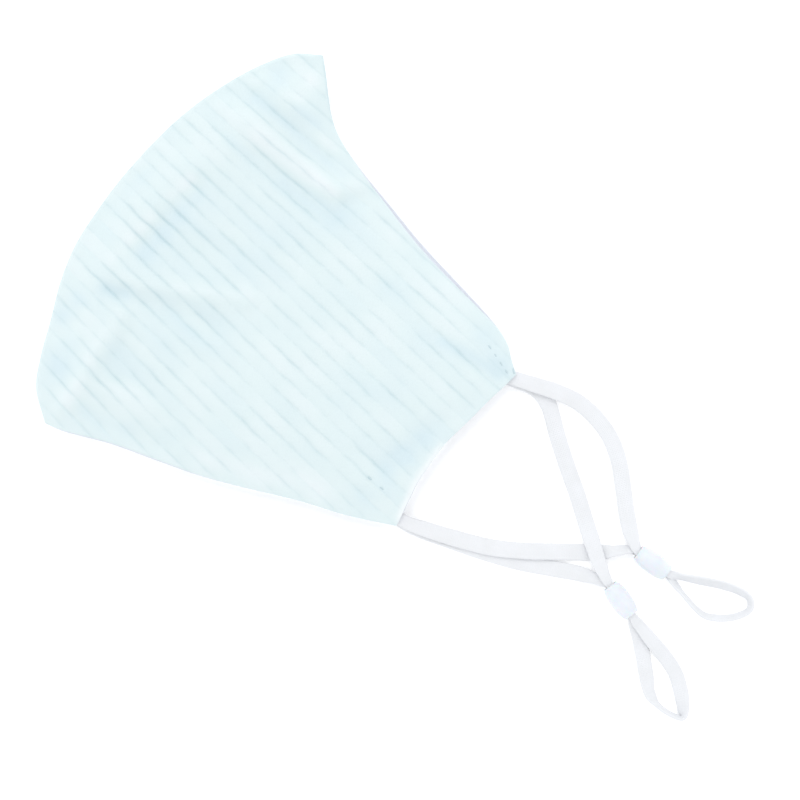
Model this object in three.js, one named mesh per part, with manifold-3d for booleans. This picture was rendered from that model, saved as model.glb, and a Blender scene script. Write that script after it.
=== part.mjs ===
import * as THREE from "three";
import { mergeVertices } from "three/addons/utils/BufferGeometryUtils.js";
import Module from "manifold-3d";

// A ribbed cloth face mask, folded flat along its curved front seam and laid on its right half.
// Millimetres, +Z up. X runs along the ribs from the front seam to the ears, Y from chin to nose.
// The origin is on the surface that the mask lies on, under the middle of the cloth.

const wasm = await Module();
wasm.setup();

// Driving sizes of the cloth
const maskDepth = 139;
const maskHeight = 144.6;
const clothWall = 1;
const liningWall = 0.8;
const gap = 0.3;
const hollowHeight = 8.6;
const hemWidth = 1.2;

// Ribs: their pitch, the groove between two ribs, and how the ribs spread towards the ears
const ribPitch = 4.62;
const ribPhase = 0.4;
const grooveDepth = 0.35;
const grooveShoulder = 0.6;
const ribSpread = 0.05;
const ribSpreadCentre = 10;

// Front seam: the rolled edge of each half and the seam allowance between the halves
const edgeRoll = 1.5;
const edgeWall = 0.8;
const seamWall = 1.2;
const seamAllowance = 5;

// Ear loops and toggles
const strapWidth = 5.2;
const strapWall = 1.2;
const strapFloorGap = 0.1;
const toggleLength = 11.4;
const toggleRadius = 3.4;
const toggleEndRadius = 2.5;
const toggleBore = 2.1;
const toggleSides = 16;

// Heights that follow from the sizes above
const seamMiddle = clothWall + gap + seamWall / 2;
const seamStack = clothWall + gap + seamWall + gap;
const cornerStack = clothWall + gap + 2 * (strapWall + gap);
const rightLiningBase = clothWall + gap;
const liningStart = edgeRoll + seamAllowance + gap;

// How the pieces are cut and sampled
const gridMargin = 4.5;
const cutterReach = 40;
const sheetReach = 20;
const hollowReach = 24;
const edgeSamples = 15;
const frontPasses = 3;
const weldDistance = 1e-4;
const steepestSlant = 2.2;

// The curved front seam, as shares of the height from the chin and of the depth from the front
const frontSeam = [
  { height: 0, depth: 0.26 },
  { height: 0.04, depth: 0.193 },
  { height: 0.1, depth: 0.148 },
  { height: 0.17, depth: 0.109 },
  { height: 0.25, depth: 0.063 },
  { height: 0.33, depth: 0.031 },
  { height: 0.42, depth: 0.013 },
  { height: 0.5, depth: 0.003 },
  { height: 0.58, depth: 0 },
  { height: 0.66, depth: 0.002 },
  { height: 0.74, depth: 0.012 },
  { height: 0.83, depth: 0.034 },
  { height: 0.9, depth: 0.06 },
  { height: 0.96, depth: 0.094 },
  { height: 1, depth: 0.143 },
];

// The top edge, from the nose to the upper ear corner: the share of the height on each half
const topEdge = [
  { depth: 0.143, left: 1, right: 1 },
  { depth: 0.18, left: 0.972, right: 0.971 },
  { depth: 0.215, left: 0.944, right: 0.942 },
  { depth: 0.25, left: 0.918, right: 0.916 },
  { depth: 0.287, left: 0.898, right: 0.897 },
  { depth: 0.33, left: 0.885, right: 0.886 },
  { depth: 0.4, left: 0.87, right: 0.874 },
  { depth: 0.47, left: 0.859, right: 0.866 },
  { depth: 0.54, left: 0.848, right: 0.857 },
  { depth: 0.61, left: 0.839, right: 0.849 },
  { depth: 0.7, left: 0.834, right: 0.844 },
  { depth: 0.8, left: 0.832, right: 0.838 },
  { depth: 0.86, left: 0.829, right: 0.831 },
  { depth: 0.9, left: 0.818, right: 0.818 },
  { depth: 0.93, left: 0.799, right: 0.799 },
  { depth: 0.955, left: 0.786, right: 0.786 },
];

// The lower edge, from the chin to the lower ear corner
const lowerEdge = [
  { depth: 0.26, left: 0, right: 0 },
  { depth: 0.3, left: 0.016, right: 0.013 },
  { depth: 0.4, left: 0.069, right: 0.065 },
  { depth: 0.5, left: 0.111, right: 0.107 },
  { depth: 0.6, left: 0.153, right: 0.15 },
  { depth: 0.7, left: 0.205, right: 0.203 },
  { depth: 0.8, left: 0.26, right: 0.259 },
  { depth: 0.9, left: 0.308, right: 0.308 },
  { depth: 1, left: 0.367, right: 0.366 },
];

// The ear edge, from the lower corner up: the share of the depth on each half
const earEdge = [
  { height: 0.366, left: 0.998, right: 1 },
  { height: 0.38, left: 0.994, right: 0.996 },
  { height: 0.4, left: 0.987, right: 0.989 },
  { height: 0.43, left: 0.977, right: 0.979 },
  { height: 0.466, left: 0.965, right: 0.967 },
  { height: 0.5, left: 0.959, right: 0.961 },
  { height: 0.535, left: 0.954, right: 0.955 },
  { height: 0.565, left: 0.95, right: 0.951 },
  { height: 0.585, left: 0.95, right: 0.948 },
  { height: 0.64, left: 0.953, right: 0.949 },
  { height: 0.71, left: 0.955, right: 0.951 },
  { height: 0.75, left: 0.958, right: 0.956 },
  { height: 0.774, left: 0.959, right: 0.958 },
];

// How the upper half rises from its edges: distances as shares of the depth or height, and the
// share of the hollow's height that is reached there
const riseFromSeam = [
  { away: 0, rise: 0 },
  { away: 0.03, rise: 0.2 },
  { away: 0.07, rise: 0.47 },
  { away: 0.105, rise: 0.68 },
  { away: 0.13, rise: 0.75 },
  { away: 0.16, rise: 0.75 },
  { away: 0.22, rise: 0.76 },
  { away: 0.3, rise: 0.81 },
  { away: 0.45, rise: 0.92 },
  { away: 0.6, rise: 1 },
  { away: 1, rise: 1 },
];
const riseFromEdge = [
  { away: 0, rise: 0 },
  { away: 0.02, rise: 0.16 },
  { away: 0.06, rise: 0.42 },
  { away: 0.12, rise: 0.7 },
  { away: 0.2, rise: 0.9 },
  { away: 0.3, rise: 1 },
];
const riseFromEar = [
  { away: 0, rise: 0.35 },
  { away: 0.04, rise: 0.52 },
  { away: 0.1, rise: 0.72 },
  { away: 0.2, rise: 0.9 },
  { away: 0.4, rise: 1 },
];

// Folds and dents of the upper half. Each runs from one place to another, given as shares of the
// depth and height. Its width is a share of the depth, its rise a share of the hollow's height.
const folds = [
  { name: "chin ridge", from: [0.228, 0.29], to: [0.268, 0.05], width: 0.024, rise: 0.2 },
  { name: "chin ridge flank", from: [0.29, 0.225], to: [0.32, 0.2], width: 0.035, rise: -0.15 },
  { name: "chin arc", from: [0.27, 0.135], to: [0.42, 0.185], width: 0.028, rise: 0.1 },
  { name: "diagonal ridge", from: [0.18, 0.342], to: [0.4, 0.498], width: 0.026, rise: 0.2 },
  { name: "under the diagonal", from: [0.235, 0.345], to: [0.4, 0.41], width: 0.03, rise: -0.16 },
  { name: "dimple", from: [0.165, 0.31], to: [0.19, 0.325], width: 0.024, rise: -0.25 },
  { name: "behind the front", from: [0.152, 0.42], to: [0.142, 0.6], width: 0.026, rise: -0.2 },
  { name: "over the diagonal", from: [0.215, 0.48], to: [0.3, 0.52], width: 0.045, rise: -0.1 },
  { name: "nose ridge", from: [0.06, 0.768], to: [0.39, 0.806], width: 0.024, rise: 0.17 },
  { name: "nose valley", from: [0.1, 0.828], to: [0.31, 0.838], width: 0.024, rise: -0.16 },
  { name: "upper nose ridge", from: [0.09, 0.868], to: [0.2, 0.88], width: 0.024, rise: 0.12 },
  { name: "cheek valley", from: [0.2, 0.73], to: [0.41, 0.75], width: 0.026, rise: -0.16 },
  { name: "top tuck", from: [0.36, 0.797], to: [0.405, 0.845], width: 0.022, rise: 0.12 },
  { name: "top tuck hollow", from: [0.42, 0.797], to: [0.436, 0.84], width: 0.024, rise: -0.12 },
  { name: "nose dent", from: [0.26, 0.885], to: [0.277, 0.93], width: 0.024, rise: -0.1 },
  { name: "chin hollow", from: [0.313, 0.08], to: [0.48, 0.135], width: 0.034, rise: -0.15 },
  { name: "ear crease", from: [0.889, 0.45], to: [0.91, 0.6], width: 0.028, rise: -0.1 },
  { name: "lower ear ridge", from: [0.86, 0.389], to: [0.93, 0.396], width: 0.026, rise: 0.09 },
  { name: "upper ear crease", from: [0.77, 0.729], to: [0.93, 0.745], width: 0.02, rise: -0.11 },
];

// How soon a fold reaches its full rise behind an edge, against the rise of the cloth itself
const foldStart = 4;

// Where the lining stops short of the ear corners, so that the loops' ends fit between the halves
const liningCorners = { topDepth: 0.84, topHeight: 0.68, lowerDepth: 0.86, lowerHeight: 0.46 };

// Columns of the upper half's grid behind its rolled edge, as shares of the way to the ear side
const upperColumns = [
  0.035, 0.07, 0.1, 0.13, 0.165, 0.21, 0.27, 0.35, 0.46, 0.6, 0.74, 0.85, 0.93, 1,
];
const flatColumns = [0.5, 1];

// The route of the left half's ear loop, which lies on top. The lift is the height of its
// underside, the roll turns it from flat to standing on its edge, and the width is a share.
const leftLoopRoute = [
  { x: 57.5, y: 36.8, lift: 2.8, roll: 0, width: 0.85 },
  { x: 61.8, y: 38.6, lift: 2.8, roll: 0, width: 0.85 },
  { x: 66.5, y: 40.9, lift: 2.8, roll: 0, width: 0.9 },
  { x: 71.5, y: 43.4, lift: 2.4, roll: 0, width: 0.95 },
  { x: 77, y: 46, lift: 2, roll: 0, width: 1 },
  { x: 84, y: 48.3, lift: 0.6, roll: 0, width: 1 },
  { x: 91.5, y: 48.6, lift: 0.1, roll: 0, width: 1 },
  { x: 99, y: 47.2, lift: 0.1, roll: 0, width: 1 },
  { x: 106, y: 43.8, lift: 0.1, roll: 0, width: 1 },
  { x: 112.5, y: 38.9, lift: 0.1, roll: 0, width: 1 },
  { x: 118.5, y: 34.1, lift: 0.2, roll: 0, width: 1 },
  { x: 123.8, y: 30.2, lift: 1.3, roll: 0, width: 0.95 },
  { x: 127.6, y: 28, lift: 2.9, roll: 0, width: 0.7 },
  { x: 130.5, y: 27, lift: 3.55, roll: 0, width: 0.46 },
  { x: 135.85, y: 27.7, lift: 3.55, roll: 0, width: 0.46 },
  { x: 141.2, y: 28.4, lift: 3.55, roll: 0, width: 0.46 },
  { x: 145.5, y: 30.8, lift: 0.9, roll: 62, width: 0.75 },
  { x: 150.8, y: 34.1, lift: 0.1, roll: 55, width: 0.85 },
  { x: 156.5, y: 37.6, lift: 0.1, roll: 55, width: 0.85 },
  { x: 161.8, y: 40, lift: 0.1, roll: 62, width: 0.85 },
  { x: 166, y: 40.5, lift: 0.1, roll: 72, width: 0.8 },
  { x: 168.2, y: 37.8, lift: 0.1, roll: 75, width: 0.8 },
  { x: 166.5, y: 33.3, lift: 0.1, roll: 72, width: 0.8 },
  { x: 163, y: 29.4, lift: 0.1, roll: 70, width: 0.85 },
  { x: 159.1, y: 26.9, lift: 0.1, roll: 72, width: 0.85 },
  { x: 154.2, y: 26.7, lift: 0.1, roll: 76, width: 0.85 },
  { x: 149.2, y: 27.2, lift: 0.1, roll: 78, width: 0.8 },
  { x: 145, y: 27.8, lift: 0.6, roll: 55, width: 0.6 },
  { x: 141.2, y: 28.4, lift: 2.05, roll: 0, width: 0.46 },
  { x: 135.85, y: 27.7, lift: 2.05, roll: 0, width: 0.46 },
  { x: 130.5, y: 27, lift: 2.05, roll: 0, width: 0.46 },
  { x: 127.8, y: 25.8, lift: 0.6, roll: 50, width: 0.7 },
  { x: 124.8, y: 22.3, lift: 0.1, roll: 45, width: 0.85 },
  { x: 121.2, y: 18, lift: 0.1, roll: 0, width: 1 },
  { x: 116.2, y: 13.5, lift: 0.1, roll: 0, width: 1 },
  { x: 110.5, y: 8.4, lift: 1.3, roll: 0, width: 1 },
  { x: 104, y: 2.6, lift: 1.6, roll: 0, width: 1 },
  { x: 96, y: -3.6, lift: 1.6, roll: 0, width: 1 },
  { x: 86.5, y: -9, lift: 1.6, roll: 0, width: 1 },
  { x: 77.5, y: -13.5, lift: 2.3, roll: 0, width: 0.95 },
  { x: 69.5, y: -16.8, lift: 2.8, roll: 0, width: 0.8 },
  { x: 60.5, y: -17.4, lift: 2.8, roll: 0, width: 0.75 },
];

// The route of the right half's ear loop, which lies under the left one at the mask
const rightLoopRoute = [
  { x: 57.5, y: 36.4, lift: 1.3, roll: 0, width: 0.85 },
  { x: 62.3, y: 38.4, lift: 1.3, roll: 0, width: 0.85 },
  { x: 67, y: 40.4, lift: 1.2, roll: 0, width: 0.9 },
  { x: 72, y: 42.1, lift: 0.3, roll: 0, width: 0.95 },
  { x: 78, y: 41.2, lift: 0.1, roll: 0, width: 1 },
  { x: 86.5, y: 36.2, lift: 0.1, roll: 0, width: 1 },
  { x: 95, y: 31.5, lift: 0.1, roll: 0, width: 1 },
  { x: 103.5, y: 27.2, lift: 0.1, roll: 0, width: 1 },
  { x: 111, y: 23, lift: 0.3, roll: 0, width: 1 },
  { x: 116.2, y: 20.1, lift: 1.6, roll: 0, width: 1 },
  { x: 120.8, y: 17.5, lift: 2.3, roll: 0, width: 0.95 },
  { x: 124.6, y: 15.6, lift: 2.8, roll: 0, width: 0.85 },
  { x: 128.2, y: 14.1, lift: 3.3, roll: 0, width: 0.65 },
  { x: 131.3, y: 13.18, lift: 3.55, roll: 0, width: 0.46 },
  { x: 136.6, y: 12.2, lift: 3.55, roll: 0, width: 0.46 },
  { x: 141.9, y: 11.22, lift: 3.55, roll: 0, width: 0.46 },
  { x: 146.5, y: 10.5, lift: 2.2, roll: 0, width: 0.7 },
  { x: 152.5, y: 9.7, lift: 1.7, roll: 0, width: 0.85 },
  { x: 159, y: 8.9, lift: 0.4, roll: 0, width: 0.9 },
  { x: 165, y: 7.5, lift: 0.1, roll: 0, width: 0.9 },
  { x: 170.3, y: 4.5, lift: 0.1, roll: 0, width: 0.9 },
  { x: 174.4, y: 1.2, lift: 0.1, roll: 35, width: 0.85 },
  { x: 176.4, y: -1.2, lift: 0.1, roll: 80, width: 0.8 },
  { x: 173.4, y: -2.9, lift: 0.1, roll: 80, width: 0.8 },
  { x: 168.4, y: -3.7, lift: 0.1, roll: 75, width: 0.8 },
  { x: 163.6, y: -2.8, lift: 0.1, roll: 35, width: 0.85 },
  { x: 158.6, y: 0.9, lift: 0.1, roll: 0, width: 0.9 },
  { x: 153, y: 5, lift: 0.1, roll: 0, width: 0.9 },
  { x: 146.8, y: 8.6, lift: 0.4, roll: 0, width: 0.7 },
  { x: 141.9, y: 11.22, lift: 2.05, roll: 0, width: 0.46 },
  { x: 136.6, y: 12.2, lift: 2.05, roll: 0, width: 0.46 },
  { x: 131.3, y: 13.18, lift: 2.05, roll: 0, width: 0.46 },
  { x: 127.2, y: 12, lift: 0.9, roll: 0, width: 0.7 },
  { x: 121, y: 8.9, lift: 0.1, roll: 0, width: 0.95 },
  { x: 113.5, y: 4.1, lift: 0.1, roll: 0, width: 1 },
  { x: 104.5, y: -1.6, lift: 0.1, roll: 0, width: 1 },
  { x: 94, y: -7, lift: 0.1, roll: 0, width: 1 },
  { x: 83, y: -12, lift: 0.1, roll: 0, width: 1 },
  { x: 72.5, y: -16.6, lift: 1.3, roll: 0, width: 0.85 },
  { x: 60.5, y: -18, lift: 1.3, roll: 0, width: 0.75 },
];
const routeStepsPerPoint = 2;

const toggles = {
  left: { x: 135.85, y: 27.7, turn: 7.5 },
  right: { x: 136.6, y: 12.2, turn: -10.5 },
};

// The bead's swell from its middle to its end: shares of half its length, and how far its radius
// is drawn in there from the widest to the end
const toggleSwell = [
  { along: 0.25, drawnIn: 0.02 },
  { along: 0.6, drawnIn: 0.24 },
  { along: 0.84, drawnIn: 0.61 },
  { along: 1, drawnIn: 1 },
];

const clothMaterial = new THREE.MeshStandardMaterial({ color: 0xdff1f8, roughness: 0.9 });
const liningMaterial = new THREE.MeshStandardMaterial({ color: 0xe9edf8, roughness: 0.95 });
const elasticMaterial = new THREE.MeshStandardMaterial({ color: 0xf3f4f8, roughness: 0.85 });
const toggleMaterial = new THREE.MeshStandardMaterial({ color: 0xeceffa, roughness: 0.45 });

// Smooth tables

function tableSlope(rows, index, from, to) {
  const before = rows[Math.max(index - 1, 0)];
  const after = rows[Math.min(index + 1, rows.length - 1)];
  return (after[to] - before[to]) / (after[from] - before[from]);
}

// The value of column "to" where column "from" has the value "at", on a smooth curve.
function tableValue(rows, from, to, at) {
  const last = rows.length - 1;
  if (at <= rows[0][from]) return rows[0][to];
  if (at >= rows[last][from]) return rows[last][to];
  let index = 0;
  while (rows[index + 1][from] < at) index += 1;
  const start = rows[index];
  const end = rows[index + 1];
  const span = end[from] - start[from];
  const u = (at - start[from]) / span;
  const slopeIn = tableSlope(rows, index, from, to) * span;
  const slopeOut = tableSlope(rows, index + 1, from, to) * span;
  const rest = 1 - u;
  const ends = start[to] * (1 + 2 * u) * rest * rest + end[to] * u * u * (3 - 2 * u);
  return ends + slopeIn * u * rest * rest - slopeOut * u * u * rest;
}

// Outline of the halves

const depthAt = (share) => (share - 0.5) * maskDepth;
const heightAt = (share) => (share - 0.5) * maskHeight;
const depthShare = (x) => x / maskDepth + 0.5;
const heightShare = (y) => y / maskHeight + 0.5;

const seamX = (y) => depthAt(tableValue(frontSeam, "height", "depth", heightShare(y)));
const topY = (x, side) => heightAt(tableValue(topEdge, "depth", side, depthShare(x)));
const lowerY = (x, side) => heightAt(tableValue(lowerEdge, "depth", side, depthShare(x)));
const earX = (y, side) => depthAt(tableValue(earEdge, "height", side, heightShare(y)));

// How much longer a step along X is than the same step square to the seam.
function seamSlant(y) {
  const lean = (seamX(y + 1) - seamX(y - 1)) / 2;
  return Math.min(Math.hypot(1, lean), steepestSlant);
}

const behindSeam = (x, y) => Math.max(0, (x - seamX(y)) / seamSlant(y));

// Evenly spaced values from one end to the other.
function samples(from, to, count) {
  return Array.from({ length: count + 1 }, (_, i) => from + ((to - from) * i) / count);
}

// The outline of a half, drawn in from its free edges by inset and open past the front seam.
function halfOutline(side, inset, corners) {
  const noseX = depthAt(topEdge[0].depth);
  const chinX = depthAt(lowerEdge[0].depth);
  const points = [];
  for (const x of samples(chinX, depthAt(corners.lowerDepth), edgeSamples)) {
    points.push([x, lowerY(x, side) + inset]);
  }
  for (const y of samples(heightAt(corners.lowerHeight), heightAt(corners.topHeight), edgeSamples)) {
    points.push([earX(y, side) - inset, y]);
  }
  for (const x of samples(depthAt(corners.topDepth), noseX, edgeSamples)) {
    points.push([x, topY(x, side) - inset]);
  }
  const top = heightAt(1) - inset;
  const bottom = heightAt(0) + inset;
  points.push([depthAt(0) - cutterReach, top]);
  points.push([depthAt(0) - cutterReach, bottom]);
  return new THREE.Shape(points.map(([x, y]) => new THREE.Vector2(x, y)));
}

const wholeCorners = {
  topDepth: topEdge[topEdge.length - 1].depth,
  topHeight: earEdge[earEdge.length - 1].height,
  lowerDepth: 1,
  lowerHeight: earEdge[0].height,
};

// A tall block that cuts a sheet to an outline.
function cutter(shape) {
  const block = new THREE.ExtrudeGeometry(shape, {
    depth: 2 * cutterReach,
    bevelEnabled: false,
  });
  block.translate(0, 0, -cutterReach);
  return solidOf(block);
}

// Heights of the cloth

// How far a rolled edge is drawn towards the middle of the seam, on its outer and inner face.
function outerRoll(away) {
  const share = Math.min(away / edgeRoll, 1);
  const full = seamStack - seamMiddle + clothWall - gap / 2 - edgeWall;
  return full * (1 - Math.sqrt(1 - (1 - share) ** 2));
}

function innerRoll(away) {
  const full = seamWall / 2 + gap - gap / 2;
  return full * Math.max(0, 1 - away / (edgeRoll - gap));
}

function pointOf([depth, height]) {
  return new THREE.Vector2(depthAt(depth), heightAt(height));
}

// The rise of one fold: a soft ridge or valley round the line between its two ends.
function foldRise(fold, place) {
  const from = pointOf(fold.from);
  const along = pointOf(fold.to).sub(from);
  const share = THREE.MathUtils.clamp(place.clone().sub(from).dot(along) / along.lengthSq(), 0, 1);
  const away = place.distanceTo(from.addScaledVector(along, share)) / (fold.width * maskDepth);
  return fold.rise * Math.exp(-away * away);
}

// The underside of the upper half's cloth, before its rolled edge.
function upperUnderside(x, y) {
  const seamAway = behindSeam(x, y);
  const fromSeam = tableValue(riseFromSeam, "away", "rise", seamAway / maskDepth);
  const topAway = Math.max(0, topY(x, "left") - y) / maskHeight;
  const lowerAway = Math.max(0, y - lowerY(x, "left")) / maskHeight;
  const fromTop = tableValue(riseFromEdge, "away", "rise", topAway);
  const fromLower = tableValue(riseFromEdge, "away", "rise", lowerAway);
  const earAway = Math.max(0, earX(y, "left") - x) / maskDepth;
  const fromEar = tableValue(riseFromEar, "away", "rise", earAway);
  const place = new THREE.Vector2(x, y);
  const folded = folds.reduce((sum, fold) => sum + foldRise(fold, place), 0);
  const spread = fromSeam * fromTop * fromLower;
  const edgeFade = Math.min(1, foldStart * Math.min(fromSeam, fromTop, fromLower));
  const stackShare = THREE.MathUtils.smoothstep(seamAway, edgeRoll, 2 * liningStart);
  const stack = seamStack + (cornerStack - seamStack) * stackShare;
  return stack + hollowHeight * (spread * fromEar + folded * edgeFade);
}

// Grids

const spreadY = (y, x) => y + ribSpread * (y - ribSpreadCentre) * depthShare(x);

// Rows across the ribs: one in each groove and one on each shoulder, or only one on each rib.
function ribRows(fine) {
  const count = Math.ceil((maskHeight / 2 + gridMargin) / ribPitch);
  const rows = [];
  for (let rib = -count; rib <= count; rib += 1) {
    const groove = ribPhase + rib * ribPitch;
    if (fine) {
      rows.push({ y: groove, groove: 1 });
      rows.push({ y: groove + grooveShoulder, groove: 0 });
      rows.push({ y: groove + ribPitch - grooveShoulder, groove: 0 });
    } else {
      rows.push({ y: groove + ribPitch / 2, groove: 0 });
    }
  }
  return rows;
}

// Where a row meets the front seam, with the spread of the ribs taken in.
function rowFront(row) {
  let x = seamX(row.y);
  for (let pass = 0; pass < frontPasses; pass += 1) x = seamX(spreadY(row.y, x));
  return x;
}

// The points of a sheet: some at set distances behind the seam, the rest at shares of the way on.
function gridPoints(rows, distances, shares) {
  const end = maskDepth / 2 + gridMargin;
  return rows.map((row) => {
    const front = rowFront(row);
    const slant = seamSlant(spreadY(row.y, front));
    const near = distances.map((distance) => front + distance * slant);
    const far = shares.map((share) => front + (end - front) * share);
    return [...near, ...far].map((x) => ({ x, y: spreadY(row.y, x), groove: row.groove }));
  });
}

// A closed body between two heights over a grid of points.
function sheetBody(points, upper, lower) {
  const rows = points.length;
  const columns = points[0].length;
  const positions = [];
  for (const height of [upper, lower]) {
    for (const row of points) {
      for (const point of row) positions.push(point.x, point.y, height(point));
    }
  }
  const at = (face, row, column) => (face * rows + row) * columns + column;
  const triangles = [];
  const quad = (a, b, c, d) => triangles.push(a, b, c, a, c, d);
  for (let r = 0; r < rows - 1; r += 1) {
    for (let c = 0; c < columns - 1; c += 1) {
      quad(at(0, r, c), at(0, r, c + 1), at(0, r + 1, c + 1), at(0, r + 1, c));
      quad(at(1, r, c), at(1, r + 1, c), at(1, r + 1, c + 1), at(1, r, c + 1));
    }
    quad(at(0, r, 0), at(0, r + 1, 0), at(1, r + 1, 0), at(1, r, 0));
    const end = columns - 1;
    quad(at(0, r, end), at(1, r, end), at(1, r + 1, end), at(0, r + 1, end));
  }
  for (let c = 0; c < columns - 1; c += 1) {
    quad(at(0, 0, c), at(1, 0, c), at(1, 0, c + 1), at(0, 0, c + 1));
    const end = rows - 1;
    quad(at(0, end, c), at(0, end, c + 1), at(1, end, c + 1), at(1, end, c));
  }
  return bodyGeometry(positions, triangles);
}

function bodyGeometry(positions, triangles) {
  const geometry = new THREE.BufferGeometry();
  geometry.setAttribute("position", new THREE.Float32BufferAttribute(positions, 3));
  geometry.setIndex(triangles);
  return geometry;
}

// Solids and meshes

function solidOf(geometry) {
  const bare = geometry.clone();
  bare.deleteAttribute("normal");
  bare.deleteAttribute("uv");
  const merged = mergeVertices(bare, weldDistance);
  return new wasm.Manifold(
    new wasm.Mesh({
      numProp: 3,
      vertProperties: merged.getAttribute("position").array,
      triVerts: new Uint32Array(merged.index.array),
    }),
  );
}

function geometryOf(solid) {
  const mesh = solid.getMesh();
  return bodyGeometry(Array.from(mesh.vertProperties), Array.from(mesh.triVerts));
}

function namedMesh(name, geometry, material) {
  const flat = geometry.index ? geometry.toNonIndexed() : geometry;
  flat.computeVertexNormals();
  const mesh = new THREE.Mesh(flat, material);
  mesh.name = name;
  return mesh;
}

// Pieces

// Columns of the grids behind the front seam: across the rolled edge, and inside it
const rollColumns = [0, 0.25, 0.55, 1].map((share) => share * edgeRoll);
const innerColumns = [-edgeRoll, 0, edgeRoll - gap];

function leftPanel() {
  const outer = (p) => {
    const away = behindSeam(p.x, p.y);
    return upperUnderside(p.x, p.y) + clothWall - outerRoll(away) - grooveDepth * p.groove;
  };
  const inner = (p) => upperUnderside(p.x, p.y) - innerRoll(behindSeam(p.x, p.y));
  const under = (reach) => () => -reach;
  const whole = sheetBody(
    gridPoints(ribRows(true), rollColumns, upperColumns), outer, under(sheetReach),
  );
  const hollow = sheetBody(
    gridPoints(ribRows(false), innerColumns, upperColumns), inner, under(hollowReach),
  );
  const cloth = solidOf(whole).subtract(solidOf(hollow));
  return cloth.intersect(cutter(halfOutline("left", 0, wholeCorners)));
}

function rightPanel() {
  const outer = (p) => outerRoll(behindSeam(p.x, p.y)) + grooveDepth * p.groove;
  const inner = (p) => clothWall + innerRoll(behindSeam(p.x, p.y));
  const over = (reach) => () => reach;
  const whole = sheetBody(
    gridPoints(ribRows(true), rollColumns, flatColumns), over(sheetReach), outer,
  );
  const hollow = sheetBody(
    gridPoints(ribRows(false), innerColumns, flatColumns), over(hollowReach), inner,
  );
  const cloth = solidOf(whole).subtract(solidOf(hollow));
  return cloth.intersect(cutter(halfOutline("right", 0, wholeCorners)));
}

function leftLining() {
  const top = (p) => upperUnderside(p.x, p.y) - gap;
  const bottom = (p) => top(p) - liningWall;
  const sheet = sheetBody(gridPoints(ribRows(false), [liningStart], upperColumns.slice(2)), top, bottom);
  return solidOf(sheet).intersect(cutter(halfOutline("left", hemWidth, liningCorners)));
}

function rightLining() {
  const top = () => rightLiningBase + liningWall;
  const bottom = () => rightLiningBase;
  const sheet = sheetBody(gridPoints(ribRows(false), [liningStart], flatColumns), top, bottom);
  return solidOf(sheet).intersect(cutter(halfOutline("right", hemWidth, liningCorners)));
}

// The two halves' seam allowances, sewn together and lying between the halves.
function frontSeamStrip() {
  const top = () => seamMiddle + seamWall / 2;
  const bottom = () => seamMiddle - seamWall / 2;
  const columns = [edgeRoll, edgeRoll + seamAllowance];
  const strip = sheetBody(gridPoints(ribRows(false), columns, []), top, bottom);
  return solidOf(strip).intersect(cutter(halfOutline("left", hemWidth, liningCorners)));
}

// Eight corners of the strap's section, as shares of its half width and half thickness.
const strapSection = [
  [1, 0.4],
  [0.82, 1],
  [-0.82, 1],
  [-1, 0.4],
  [-1, -0.4],
  [-0.82, -1],
  [0.82, -1],
  [1, -0.4],
];

// The strap's middle, roll and width at a place along its route, in spans from its start.
function strapPlace(route, curve, along) {
  const spans = route.length - 1;
  const index = Math.min(Math.floor(along), spans - 1);
  const share = THREE.MathUtils.smoothstep(along - index, 0, 1);
  const mix = (key) => THREE.MathUtils.lerp(route[index][key], route[index + 1][key], share);
  const roll = THREE.MathUtils.degToRad(mix("roll"));
  const width = (mix("width") * strapWidth) / 2;
  const halfHeight = width * Math.sin(roll) + (strapWall / 2) * Math.cos(roll);
  const middle = curve.getPoint(along / spans);
  middle.z = Math.max(middle.z, strapFloorGap) + halfHeight;
  return { middle, roll, width };
}

function earLoop(route) {
  const points = route.map((p) => new THREE.Vector3(p.x, p.y, p.lift));
  const curve = new THREE.CatmullRomCurve3(points, false, "catmullrom", 0.5);
  const steps = (route.length - 1) * routeStepsPerPoint;
  const places = samples(0, route.length - 1, steps).map((at) => strapPlace(route, curve, at));
  const positions = [];
  places.forEach((place, i) => {
    const before = places[Math.max(i - 1, 0)].middle;
    const after = places[Math.min(i + 1, steps)].middle;
    const tangent = after.clone().sub(before).normalize();
    const level = new THREE.Vector3(0, 0, 1).cross(tangent).normalize();
    const up = tangent.clone().cross(level);
    const across = level.clone().multiplyScalar(Math.cos(place.roll));
    across.addScaledVector(up, Math.sin(place.roll));
    const normal = tangent.clone().cross(across);
    for (const [side, face] of strapSection) {
      const corner = place.middle.clone().addScaledVector(across, side * place.width);
      corner.addScaledVector(normal, (face * strapWall) / 2);
      positions.push(corner.x, corner.y, corner.z);
    }
  });
  return bodyGeometry(positions, tubeTriangles(steps + 1, strapSection.length));
}

// Triangles of a tube of rings, closed at both ends.
function tubeTriangles(rings, sides) {
  const triangles = [];
  for (let ring = 0; ring < rings - 1; ring += 1) {
    for (let side = 0; side < sides; side += 1) {
      const a = ring * sides + side;
      const b = ring * sides + ((side + 1) % sides);
      triangles.push(a, b, b + sides, a, b + sides, a + sides);
    }
  }
  const last = (rings - 1) * sides;
  for (let side = 1; side < sides - 1; side += 1) {
    triangles.push(0, side + 1, side);
    triangles.push(last, last + side, last + side + 1);
  }
  return triangles;
}

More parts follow.
